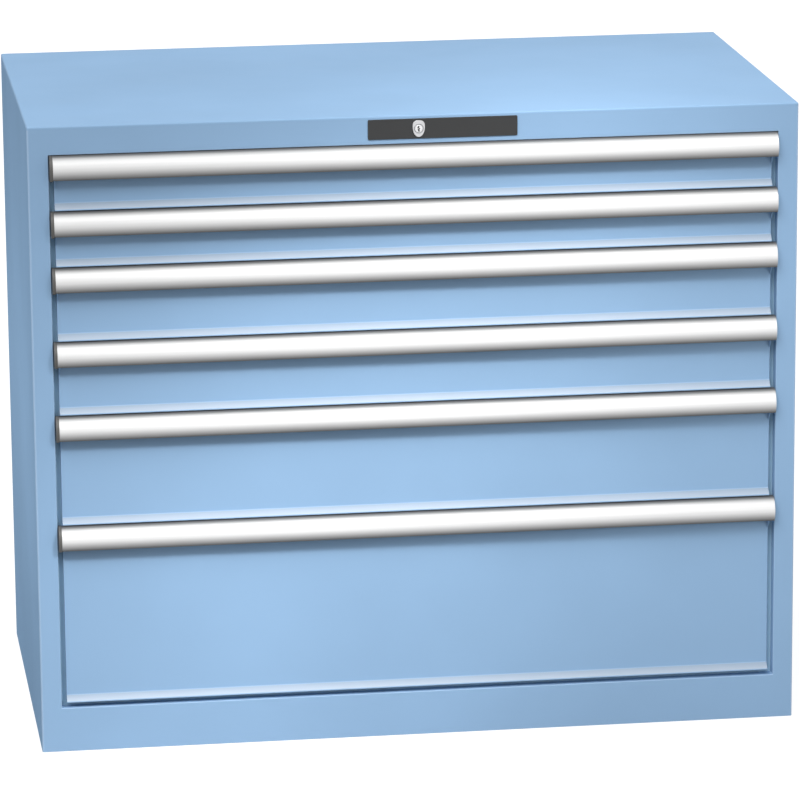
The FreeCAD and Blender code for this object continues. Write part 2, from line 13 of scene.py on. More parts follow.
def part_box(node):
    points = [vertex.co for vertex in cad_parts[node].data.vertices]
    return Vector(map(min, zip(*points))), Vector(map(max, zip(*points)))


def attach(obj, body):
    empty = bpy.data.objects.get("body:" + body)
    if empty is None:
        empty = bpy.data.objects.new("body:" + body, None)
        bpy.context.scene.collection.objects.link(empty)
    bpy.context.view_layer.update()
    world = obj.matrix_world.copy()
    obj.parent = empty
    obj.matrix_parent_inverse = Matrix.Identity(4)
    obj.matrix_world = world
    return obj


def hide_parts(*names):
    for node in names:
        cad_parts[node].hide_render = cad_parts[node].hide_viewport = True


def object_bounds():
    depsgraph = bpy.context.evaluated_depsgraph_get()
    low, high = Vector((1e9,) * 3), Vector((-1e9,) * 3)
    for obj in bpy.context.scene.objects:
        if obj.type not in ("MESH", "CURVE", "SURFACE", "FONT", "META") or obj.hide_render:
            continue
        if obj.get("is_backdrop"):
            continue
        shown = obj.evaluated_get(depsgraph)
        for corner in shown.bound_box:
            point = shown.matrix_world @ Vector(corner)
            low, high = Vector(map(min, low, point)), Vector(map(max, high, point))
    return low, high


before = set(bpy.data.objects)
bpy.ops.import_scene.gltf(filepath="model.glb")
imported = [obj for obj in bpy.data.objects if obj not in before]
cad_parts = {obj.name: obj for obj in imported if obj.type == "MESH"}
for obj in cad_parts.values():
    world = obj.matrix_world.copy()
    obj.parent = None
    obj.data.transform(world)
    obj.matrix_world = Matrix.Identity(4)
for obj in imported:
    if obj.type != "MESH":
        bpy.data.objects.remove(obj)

CAD_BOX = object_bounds()
FRONT_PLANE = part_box("front_frame")[0].y
MM = 0.001
FACING = 0.9  # least cosine of a face that looks along an axis
NEAR = 0.1  # millimetres within which two places count as one
PAST = 5.0  # millimetres that a cutter reaches past what it cuts
DRAWERS = 6
LOG = logging.getLogger("cabinet")

Piece = bpy.types.Object
Socket = bpy.types.NodeSocket
Material = bpy.types.Material
Point = tuple[float, float, float]
Colour = tuple[float, float, float, float]
Pair = tuple[float, float]
Test = Callable[[Vector, Vector], bool]


class Element(Enum):
    """Kind of mesh element that a selection picks."""

    VERTEX = "VERT"
    EDGE = "EDGE"
    FACE = "FACE"


class Body(Enum):
    """Bodies of the frame that don't belong to one drawer."""

    CABINET = "cabinet"
    LOCK_ROTOR = "lock_rotor"


class Slot(Enum):
    """Material slots of the record."""

    BLUE_PAINT = "blue_paint"
    GREY_PAINT = "grey_paint"
    ZINC = "zinc_steel"
    ALUMINIUM = "anodised_aluminium"
    CAP = "cap_plastic"
    DARK_PLASTIC = "dark_plastic"
    LOCK_METAL = "lock_metal"
    ROLLER = "roller_plastic"


def spot(x: float, depth: float, z: float) -> Vector:
    """Turn millimetres to the right, behind the front plane and up into scene metres."""
    return Vector((x * MM, FRONT_PLANE + depth * MM, z * MM))


def place_of(point: Vector) -> Vector:
    """Turn a point in scene metres into (x, depth, z) millimetres."""
    return Vector((point.x, point.y - FRONT_PLANE, point.z)) / MM


def looks_forward(place: Vector, normal: Vector) -> bool:
    """Tell whether a face looks to the front."""
    return normal.y < -FACING


class Bench:
    """Modelling steps that every sub-assembly uses, all on Blender's operators."""

    @staticmethod
    def only(piece: Piece) -> None:
        """Make one piece the only selected and active object.

        Args:
            piece: The object to work on.
        """
        bpy.ops.object.select_all(action="DESELECT")
        piece.select_set(True)
        bpy.context.view_layer.objects.active = piece

    @classmethod
    @contextmanager
    def editing(cls, piece: Piece) -> Iterator[Piece]:
        """Hold a piece in edit mode with nothing selected.

        Args:
            piece: The object to edit.

        Yields:
            The same object, in edit mode.
        """
        cls.only(piece)
        bpy.ops.object.mode_set(mode="EDIT")
        bpy.ops.mesh.select_all(action="DESELECT")
        try:
            yield piece
        finally:
            bpy.ops.object.mode_set(mode="OBJECT")

    @classmethod
    def settle(cls, piece: Piece) -> Piece:
        """Move a piece's place, turn and scale into its mesh.

        Args:
            piece: The object to settle.

        Returns:
            The same object, at the origin.
        """
        cls.only(piece)
        bpy.ops.object.transform_apply(location=True, rotation=True, scale=True)
        return piece

    @classmethod
    def block(cls, name: str, low: Point, high: Point) -> Piece:
        """Add a box between two corners as the start of a piece.

        Args:
            name: Name of the piece.
            low: Lowest (x, depth, z) corner in millimetres.
            high: Highest corner.

        Returns:
            The new object, settled.
        """
        first, last = spot(*low), spot(*high)
        bpy.ops.object.select_all(action="DESELECT")
        bpy.ops.mesh.primitive_cube_add(size=1, location=(first + last) / 2, scale=last - first)
        piece = bpy.context.active_object
        piece.name = piece.data.name = name
        return cls.settle(piece)

    @classmethod
    def rod(cls, name: str, start: Point, radius: float, length: float, axis: str,
            sides: int = 48) -> Piece:
        """Add a round bar along X or along the depth.

        Args:
            name: Name of the piece.
            start: (x, depth, z) of the middle of its first end, in millimetres.
            radius: Radius in millimetres.
            length: Length in millimetres.
            axis: "X" for a bar across the cabinet, "Y" for one from front to rear.
            sides: Faces round the bar.

        Returns:
            The new object, settled.
        """
        along = Vector((1, 0, 0)) if axis == "X" else Vector((0, 1, 0))
        turn = (0, math.pi / 2, 0) if axis == "X" else (math.pi / 2, 0, 0)
        bpy.ops.object.select_all(action="DESELECT")
        bpy.ops.mesh.primitive_cylinder_add(
            vertices=sides, radius=radius * MM, depth=length * MM,
            location=spot(*start) + along * length * MM / 2, rotation=turn)
        piece = bpy.context.active_object
        piece.name = piece.data.name = name
        return cls.settle(piece)

    @staticmethod
    def pick(piece: Piece, kind: Element, test: Test) -> None:
        """Select the elements that pass a test, in edit mode.

        Args:
            piece: The object in edit mode.
            kind: Vertices, edges or faces.
            test: Gets an element's middle as (x, depth, z) in millimetres, and its
                normal or, for an edge, its direction.

        Raises:
            ValueError: If nothing passes.
        """
        bpy.ops.mesh.select_mode(type=kind.value)
        bpy.ops.mesh.select_all(action="DESELECT")
        shape = bmesh.from_edit_mesh(piece.data)
        if kind is Element.VERTEX:
            rows = [(v, v.co, v.normal) for v in shape.verts]
        elif kind is Element.EDGE:
            ends = [(e, e.verts[0].co, e.verts[1].co) for e in shape.edges]
            rows = [(e, (a + b) / 2, (b - a).normalized()) for e, a, b in ends]
        else:
            rows = [(f, f.calc_center_median(), f.normal) for f in shape.faces]
        chosen = [item for item, middle, way in rows if test(place_of(middle), way)]
        for item in chosen:
            item.select_set(True)
        bmesh.update_edit_mesh(piece.data)
        if not chosen:
            raise ValueError(f"nothing to pick on {piece.name}")

    @classmethod
    def open_up(cls, piece: Piece, test: Test) -> None:
        """Delete the faces that pass a test, in edit mode."""
        cls.pick(piece, Element.FACE, test)
        bpy.ops.mesh.delete(type="FACE")

    @staticmethod
    def shift(x: float = 0.0, depth: float = 0.0, z: float = 0.0) -> None:
        """Move what is selected by millimetres to the right, to the rear and up."""
        bpy.ops.transform.translate(value=(x * MM, depth * MM, z * MM))

    @staticmethod
    def pull(x: float = 0.0, depth: float = 0.0, z: float = 0.0) -> None:
        """Extrude what is selected by millimetres to the right, to the rear and up."""
        way = (x * MM, depth * MM, z * MM)
        bpy.ops.mesh.extrude_region_move(TRANSFORM_OT_translate={"value": way})

    @staticmethod
    def stretch(centre: Vector, x: float = 1.0, z: float = 1.0) -> None:
        """Scale what is selected about a place in scene metres, across and up."""
        bpy.ops.transform.resize(value=(x, 1, z), center_override=centre)

    @staticmethod
    def bevel(radius: float, segments: int = 3) -> None:
        """Round what is selected by a radius in millimetres."""
        bpy.ops.mesh.bevel(offset=radius * MM, segments=segments, affect="EDGES")

    @staticmethod
    def slice_at(where: Point, facing: Point, close: bool = False) -> None:
        """Cut the mesh at (x, depth, z) millimetres, or also take and close the facing side."""
        bpy.ops.mesh.select_all(action="SELECT")
        bpy.ops.mesh.bisect(plane_co=spot(*where), plane_no=facing, use_fill=close,
                            clear_outer=close)

    @classmethod
    def modify(cls, piece: Piece, kind: str, **settings: object) -> None:
        """Add a modifier and apply it.

        Args:
            piece: The object.
            kind: Blender's name of the modifier's type.
            **settings: Values for the modifier's properties.
        """
        modifier = piece.modifiers.new(kind.lower(), kind)
        for key, value in settings.items():
            setattr(modifier, key, value)
        cls.only(piece)
        bpy.ops.object.modifier_apply(modifier=modifier.name)

    @classmethod
    def round_edges(cls, piece: Piece, radius: float, segments: int = 3,
                    angle: float = 30.0) -> None:
        """Round every edge sharper than an angle in degrees, by a radius in millimetres."""
        cls.modify(piece, "BEVEL", width=radius * MM, segments=segments, limit_method="ANGLE",
                   angle_limit=math.radians(angle), use_clamp_overlap=True)

    @classmethod
    def thicken(cls, piece: Piece, thickness: float) -> None:
        """Give an open skin its sheet thickness in millimetres, inwards."""
        cls.modify(piece, "SOLIDIFY", thickness=thickness * MM, offset=-1.0, use_even_offset=True)

    @classmethod
    def fold(cls, piece: Piece, bend: float, sheet: float, segments: int = 4) -> None:
        """Turn an open skin into folded sheet steel.

        Args:
            piece: The object, with its normals outwards.
            bend: Outer radius of its bends in millimetres.
            sheet: Sheet thickness in millimetres.
            segments: Faces across each bend.
        """
        cls.round_edges(piece, bend, segments)
        cls.thicken(piece, sheet)
        cls.mark_bends(piece)

    @classmethod
    def cut_out(cls, piece: Piece, cutter: Piece) -> None:
        """Take the volume of a closed cutter out of a piece, and remove the cutter."""
        cls.modify(piece, "BOOLEAN", operation="DIFFERENCE", solver="EXACT", object=cutter)
        bpy.data.objects.remove(cutter, do_unlink=True)

    @classmethod
    def gather(cls, pieces: Sequence[Piece]) -> Piece:
        """Join several objects into the first one.

        Args:
            pieces: The objects, the one that keeps its name first.

        Returns:
            The joined object.
        """
        bpy.ops.object.select_all(action="DESELECT")
        for piece in pieces:
            piece.select_set(True)
        bpy.context.view_layer.objects.active = pieces[0]
        bpy.ops.object.join()
        return pieces[0]

    @classmethod
    def smooth(cls, piece: Piece, angle: float = 35.0) -> None:
        """Shade rounds smooth and flats flat.

        Args:
            piece: The object.
            angle: Degrees from which an edge stays sharp.
        """
        cls.only(piece)
        bpy.ops.object.shade_smooth_by_angle(angle=math.radians(angle))
        cls.modify(piece, "WEIGHTED_NORMAL", keep_sharp=True, weight=80)

    @classmethod
    def face_out(cls, piece: Piece) -> None:
        """Turn every face of a closed piece outwards and merge doubles.

        Args:
            piece: The object.
        """
        with cls.editing(piece):
            bpy.ops.mesh.select_all(action="SELECT")
            bpy.ops.mesh.remove_doubles(threshold=0.00001)
            bpy.ops.mesh.normals_make_consistent(inside=False)

    @classmethod
    def copy_to(cls, piece: Piece, name: str, z: float) -> Piece:
        """Copy a piece with a mesh of its own and move it up.

        Args:
            piece: The object to copy.
            name: Name of the copy.
            z: Way up in millimetres.

        Returns:
            The settled copy.
        """
        double = piece.copy()
        double.data = piece.data.copy()
        double.name = double.data.name = name
        double.hide_render = False
        bpy.context.scene.collection.objects.link(double)
        double.location.z += z * MM
        return cls.settle(double)

    @staticmethod
    def mark_bends(piece: Piece, widest: float = 2.0) -> None:
        """Write where a sheet is bent to the face attribute that the paint reads for its painted
        highlight.

        Args:
            piece: The object.
            widest: Widest face in millimetres that counts as part of a bend.
        """
        mesh = piece.data
        mark = mesh.attributes.new("bend", "FLOAT", "FACE")
        points = [vertex.co for vertex in mesh.vertices]
        for face in mesh.polygons:
            square = max(abs(v) for v in face.normal) > 0.99
            longest = max((points[a] - points[b]).length for a, b in face.edge_keys)
            narrow = face.area / max(longest, 1e-9) < widest * MM
            mark.data[face.index].value = 1.0 if narrow and not square else 0.0


class Board:
    """A material's node tree, laid out from code."""

    def __init__(self, name: str) -> None:
        """Start a material with nothing but its output.

        Args:
            name: Name of the material.
        """
        self.material = bpy.data.materials.new(name)
        self.material.use_nodes = True
        self.tree = self.material.node_tree
        self.tree.nodes.clear()
        self.output = self.tree.nodes.new("ShaderNodeOutputMaterial")
        self.place = self.node("ShaderNodeTexCoord").outputs["Object"]

    def node(self, kind: str, sockets: dict | None = None, **settings: object) -> bpy.types.Node:
        """Add a node.

        Args:
            kind: Blender's type name of the node.
            sockets: Constant values or outputs for its inputs, by name or number.
            **settings: Values for the node's properties.

        Returns:
            The new node.
        """
        made = self.tree.nodes.new(kind)
        for key, value in settings.items():
            setattr(made, key, value)
        for key, value in (sockets or {}).items():
            if isinstance(value, Socket):
                self.tree.links.new(value, made.inputs[key])
            else:
                made.inputs[key].default_value = value
        return made

    def stretched(self, scale: Point) -> Socket:
        """Scale the object's coordinates by a factor along each axis."""
        return self.node("ShaderNodeMapping", {0: self.place, "Scale": scale}).outputs[0]

    def noise(self, scale: float, detail: float = 2.0, where: Socket | None = None) -> Socket:
        """Add seamless noise with its features per metre and its octaves."""
        sockets = {"Vector": where or self.place, "Scale": scale, "Detail": detail}
        return self.node("ShaderNodeTexNoise", sockets).outputs["Fac"]

    def attribute(self, name: str) -> Socket:
        """Read an attribute of the mesh."""
        return self.node("ShaderNodeAttribute", attribute_name=name).outputs["Fac"]

    def calculate(self, operation: str, first: Socket | float, second: Socket | float) -> Socket:
        """Add, multiply or otherwise combine two values."""
        return self.node("ShaderNodeMath", {0: first, 1: second}, operation=operation).outputs[0]

    def spread(self, value: Socket, low: float = 0.0, high: float = 1.0,
               inner: Pair = (0.3, 0.7)) -> Socket:
        """Map the inner range of a noise onto low to high."""
        sockets = {"Value": value, "From Min": inner[0], "From Max": inner[1],
                   "To Min": low, "To Max": high}
        return self.node("ShaderNodeMapRange", sockets).outputs[0]

    def ramp(self, value: Socket, stops: Sequence[tuple[float, float]]) -> Socket:
        """Map a value through a curve of grey stops.

        Args:
            value: The output to map, from 0 to 1.
            stops: Positions and the grey at each.

        Returns:
            The mapped output.
        """
        made = self.node("ShaderNodeValToRGB", {0: value})
        elements = made.color_ramp.elements
        for position, _ in stops[2:]:
            elements.new(position)
        for element, (position, grey) in zip(elements, stops):
            element.position = position
            element.color = (grey, grey, grey, 1.0)
        return made.outputs[0]

    def blend(self, share: Socket, first: Socket | Colour, second: Socket | Colour) -> Socket:
        """Mix two colours by the second one's share."""
        sockets = {0: share, 6: first, 7: second}
        return self.node("ShaderNodeMix", sockets, data_type="RGBA").outputs[2]

    def bump(self, height: Socket, relief: Pair, below: Socket | None = None) -> Socket:
        """Turn a height into a normal.

        Args:
            height: The height's output.
            relief: Strength from 0 to 1, and the height of the full range in metres.
            below: Normal of a bump under this one.

        Returns:
            The normal's output.
        """
        sockets: dict = {"Height": height, "Strength": relief[0], "Distance": relief[1]}
        if below is not None:
            sockets["Normal"] = below
        return self.node("ShaderNodeBump", sockets).outputs[0]

    def finish(self, sockets: dict) -> Material:
        """Close the tree with a Principled shader.

        Args:
            sockets: Constants or outputs for the shader's inputs.

        Returns:
            The finished material.
        """
        shader = self.node("ShaderNodeBsdfPrincipled", sockets)
        self.tree.links.new(shader.outputs[0], self.output.inputs[0])
        return self.material


def toned(colour: Colour, factor: float) -> Colour:
    """Make a colour deeper or lighter by a factor, at most white."""
    return tuple(min(1.0, c * factor) for c in colour[:3]) + (1.0,)


def reach(middle: float, wear: Pair) -> Pair:
    """Find the lowest and highest value round a middle."""
    return middle + wear[0], middle + wear[1]


def linear(red: int, green: int, blue: int) -> Colour:
    """Turn a screen colour into the linear colour that shaders take.

    Args:
        red: Red from 0 to 255.
        green: Green.
        blue: Blue.

    Returns:
        Linear red, green and blue, and a full alpha.
    """
    parts = [c / 255 for c in (red, green, blue)]
    lit = [c / 12.92 if c <= 0.04045 else ((c + 0.055) / 1.055) ** 2.4 for c in parts]
    return lit[0], lit[1], lit[2], 1.0


@dataclass(frozen=True)
class PowderCoat:
    """Baked paint on steel with fine orange peel, mixed towards a paler colour on the faces that
    its mark attribute sets, mostly the bends: a painted highlight.
    """

    name: str
    colour: Colour
    bend_highlight_colour: Colour
    bend_highlight_share: float = 0.15
    highlight_mark: str = "bend"
    variation: float = 0.05
    cloud_scale: float = 3.1
    roughness: float = 0.5
    wear: Pair = (-0.03, 0.04)
    wear_scale: float = 23.0
    grain: float = 0.02
    grain_scale: float = 900.0
    gloss: float = 0.2
    peel_scale: float = 330.0
    peel_relief: Pair = (0.16, 0.00022)
    speck_scale: float = 1500.0
    speck_relief: Pair = (0.06, 0.00006)

    def make(self) -> Material:
        """Build the paint.

        Returns:
            The material.
        """
        board = Board(self.name)
        cloud = board.spread(board.noise(self.cloud_scale, 3.0))
        deeper, lighter = (toned(self.colour, 1 + way * self.variation) for way in (-1, 1))
        paint = board.blend(cloud, deeper, lighter)
        # Share of the paler colour where the mark is set: painted highlight along the bends.
        painted_highlight = board.calculate("MULTIPLY", board.attribute(self.highlight_mark), self.bend_highlight_share)
        peel = board.bump(board.noise(self.peel_scale), self.peel_relief)
        wear = board.spread(board.noise(self.wear_scale, 3.0), *reach(self.roughness, self.wear))
        grain = board.spread(board.noise(self.grain_scale, 1.0), -self.grain, self.grain)
        return board.finish({
            "Base Color": board.blend(painted_highlight, paint, self.bend_highlight_colour),
            "Roughness": board.calculate("ADD", wear, grain),
            "Normal": board.bump(board.noise(self.speck_scale), self.speck_relief, peel),
            "Specular IOR Level": self.gloss})


@dataclass(frozen=True)
class AnodisedAluminium:
    """Extruded aluminium, brushed along its length, with painted shade that darkens it towards both
    edges of its arc.
    """

    name: str
    colour: Colour = (1.0, 1.0, 1.0, 1.0)
    metal: float = 0.2
    roughness: float = 0.42
    wear: Pair = (-0.06, 0.08)
    line_stretch: Point = (6.0, 1500.0, 1500.0)
    line_relief: Pair = (0.12, 0.00003)
    streak_stretch: Point = (1.2, 160.0, 160.0)
    streak_tone: float = 0.95
    # Greys round the arc from its lower edge at 0 to its upper edge at 1: painted shade at both
    # ends.
    painted_shade_tones: tuple[Pair, ...] = (
        (0.0, 0.05), (0.09, 0.21), (0.19, 0.39), (0.28, 0.55), (0.38, 0.70), (0.50, 0.78),
        (0.62, 0.73), (0.74, 0.62), (0.84, 0.44), (0.92, 0.18), (1.0, 0.09))

    def make(self) -> Material:
        """Build the metal.

        Returns:
            The material.
        """
        board = Board(self.name)
        lines = board.noise(1.0, 3.0, board.stretched(self.line_stretch))
        streak = board.spread(board.noise(1.0, 2.0, board.stretched(self.streak_stretch)))
        brushed = board.blend(streak, self.colour, toned(self.colour, self.streak_tone))
        # The brushed colour is multiplied by this painted shade, read from the turn share round the
        # arc.
        across = board.ramp(board.attribute("turn"), self.painted_shade_tones)
        tone = board.node("ShaderNodeMix", {0: 1.0, 6: brushed, 7: across}, data_type="RGBA",
                          blend_type="MULTIPLY")
        return board.finish({
            "Base Color": tone.outputs[2], "Metallic": self.metal,
            "Roughness": board.spread(lines, *reach(self.roughness, self.wear)),
            "Normal": board.bump(lines, self.line_relief)})


@dataclass(frozen=True)
class ZincSteel:
    """Galvanised sheet with its spangle."""

    name: str
    colour: Colour = (0.58, 0.60, 0.62, 1.0)
    metal: float = 0.85
    roughness: float = 0.38
    wear: Pair = (-0.06, 0.08)
    spangle_scale: float = 95.0
    spangle_tone: float = 0.86
    ripple_scale: float = 600.0
    ripple_relief: Pair = (0.08, 0.00006)

    def make(self) -> Material:
        """Build the metal.

        Returns:
            The material.
        """
        board = Board(self.name)
        sockets = {"Vector": board.place, "Scale": self.spangle_scale}
        cells = board.node("ShaderNodeTexVoronoi", sockets).outputs["Color"]
        cell = board.node("ShaderNodeSeparateColor", {0: cells}).outputs[0]
        share = board.spread(cell, inner=(0.0, 1.0))
        return board.finish({
            "Base Color": board.blend(share, self.colour, toned(self.colour, self.spangle_tone)),
            "Metallic": self.metal,
            "Roughness": board.spread(cell, *reach(self.roughness, self.wear), (0.0, 1.0)),
            "Normal": board.bump(board.noise(self.ripple_scale), self.ripple_relief)})


@dataclass(frozen=True)
class SatinMetal:
    """Plated zinc casting of the lock, finely blasted."""

    name: str
    colour: Colour
    metal: float = 0.55
    roughness: float = 0.32
    wear: Pair = (-0.05, 0.07)
    blast_scale: float = 2600.0
    blast_relief: Pair = (0.10, 0.00003)
    cloud_scale: float = 120.0
    cloud_tone: float = 0.92

    def make(self) -> Material:
        """Build the metal.

        Returns:
            The material.
        """
        board = Board(self.name)
        blasted = board.noise(self.blast_scale)
        cloud = board.spread(board.noise(self.cloud_scale))
        return board.finish({
            "Base Color": board.blend(cloud, self.colour, toned(self.colour, self.cloud_tone)),
            "Metallic": self.metal,
            "Roughness": board.spread(blasted, *reach(self.roughness, self.wear)),
            "Normal": board.bump(blasted, self.blast_relief)})


@dataclass(frozen=True)
class MouldedPlastic:
    """Injection moulded plastic with an eroded grain."""

    name: str
    colour: Colour
    roughness: float = 0.45
    wear: Pair = (-0.05, 0.08)
    grain_scale: float = 1600.0
    grain_relief: Pair = (0.22, 0.00008)
    cloud_scale: float = 35.0
    cloud_tone: float = 0.92

    def make(self) -> Material:
        """Build the plastic.

        Returns:
            The material.
        """
        board = Board(self.name)
        grain = board.noise(self.grain_scale)
        cloud = board.spread(board.noise(self.cloud_scale))
        return board.finish({
            "Base Color": board.blend(cloud, toned(self.colour, self.cloud_tone), self.colour),
            "Roughness": board.spread(grain, *reach(self.roughness, self.wear)),
            "Normal": board.bump(grain, self.grain_relief)})


class Palette:
    """All finishes of the cabinet, made once."""

    def __init__(self) -> None:
        """Make every material."""
        # Each paint's second colour, pale for the blues, is mixed onto its bends as a painted
        # highlight.
        pale, blue = linear(206, 220, 238), linear(141, 174, 207)
        self.blue = PowderCoat("blue_powder_coat", blue, pale).make()
        self.matt_blue = PowderCoat("blue_powder_coat_side", blue, pale, roughness=0.6,
                                    gloss=0.0).make()
        self.top_blue = PowderCoat("blue_powder_coat_top", blue, pale, 0.02, roughness=0.6,
                                   gloss=0.02).make()
        # The foot paint is a greyer blue, a painted sheen on the sloping foot. The fold share mixes
        # it from darker at the slope's top, painted shade under the step, to paler at the lip, a
        # painted highlight.
        self.foot = PowderCoat("blue_powder_coat_foot_painted_sheen", linear(143, 160, 178),
                               linear(172, 184, 198), 1.0, "fold").make()
        self.grey = PowderCoat("grey_tray_paint", linear(196, 199, 201), linear(222, 224, 226), 0.4,
                               roughness=0.42).make()
        self.zinc = ZincSteel("galvanised_sheet").make()
        self.grip = AnodisedAluminium("anodised_grip").make()
        # The recessed stop gets a paler, greyer blue than the front: painted light that lifts the
        # shade in the reveal round the drawer fronts.
        self.stop = PowderCoat("blue_powder_coat_stop_painted_light", linear(167, 201, 221), pale,
                               gloss=0.0).make()
        self.cap = MouldedPlastic("cap_plastic_grey", linear(84, 83, 81)).make()
        self.panel = MouldedPlastic("lock_panel_plastic", linear(37, 38, 39), roughness=0.6).make()
        self.nickel = SatinMetal("lock_shield_metal", linear(208, 208, 210)).make()
        # A darker tone of the shield's metal for the inside of its coned mouth: a painted shade
        # ring round the core.
        self.recess = SatinMetal("lock_mouth_painted_shade", linear(184, 185, 187)).make()
        self.core = SatinMetal("lock_core_metal", linear(232, 232, 233), roughness=0.28).make()
        self.keyway = MouldedPlastic("keyway_shade", linear(26, 26, 27)).make()
        self.roller = MouldedPlastic("roller_polyamide", linear(226, 224, 214),
                                     roughness=0.38).make()

    def of_slot(self, slot: Slot) -> Material:
        """Find the finish of a material slot of the record."""
        return {Slot.BLUE_PAINT: self.blue, Slot.GREY_PAINT: self.grey, Slot.ZINC: self.zinc,
                Slot.ALUMINIUM: self.grip, Slot.CAP: self.cap, Slot.DARK_PLASTIC: self.panel,
                Slot.LOCK_METAL: self.nickel, Slot.ROLLER: self.roller}[slot]


@dataclass
class Assembly:
    """What all sub-assemblies share: their finishes and how a piece is handed over."""

    palette: Palette

    def hand_over(self, piece: Piece, body: str, node: str, slot: Slot,
                  finish: Material | None = None) -> None:
        """Dress a finished piece and tie it to the frame.

        Args:
            piece: The object.
            body: Name of the body it rides on.
            node: The node it stands for.
            slot: Its material slot in the record.
            finish: Its material, or None for the slot's own.
        """
        piece.data.materials.clear()
        piece.data.materials.append(finish or self.palette.of_slot(slot))
        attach(piece, body)
        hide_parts(node)
        LOG.info("%s: %d faces on %s", piece.name, len(piece.data.polygons), body)

    @staticmethod
    def dress_faces(piece: Piece, finish: Material, test: Test) -> None:
        """Give some faces of a dressed piece another finish.

        Args:
            piece: The object.
            finish: The material of those faces.
            test: Gets a face's middle as (x, depth, z) in millimetres and its normal.
        """
        piece.data.materials.append(finish)
        last = len(piece.data.materials) - 1
        for face in piece.data.polygons:
            if test(place_of(face.center), face.normal):
                face.material_index = last

    def dress_node(self, node: str, finish: Material) -> None:
        """Give a carried over node its material.

        Args:
            node: Name of the node.
            finish: The material.
        """
        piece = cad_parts[node]
        for slot in piece.material_slots:
            slot.material = finish
        LOG.info("%s: carried over in %s", node, finish.name)


@dataclass
class HousingSizes:
    """Sizes of the housing in millimetres."""

    width: float = 1023.0
    depth: float = 572.0
    height: float = 850.0
    sheet: float = 1.5
    bend: float = 2.4
    skirt: float = 4.0
    post: float = 27.3
    fascia: float = 38.0
    plinth: float = 60.0
    stop_depth: float = 16.0
    stop_width: float = 8.0
    rear_return: float = 18.0
    rear_sheet: float = 1.0
    bead_places: tuple[float, ...] = (-330.0, -110.0, 110.0, 330.0)
    bead_width: float = 16.0
    bead_depth: float = 1.6
    bead_margin: float = 70.0
    bead_edge: float = 1.2
    weld_radius: float = 3.2
    weld_sides: int = 24
    weld_sink: float = 0.1
    weld_thick: float = 0.25
    weld_rim: float = 0.9
    weld_slope: float = 0.5
    weld_dip: float = 0.12
    weld_pitch: float = 98.0
    weld_start: float = 0.8
    weld_count: int = 8
    frame_edge: float = 0.9
    lock_x: float = 2.5
    lock_z: float = 831.95
    lock_hole: float = 9.1
    lock_hole_depth: float = 25.0


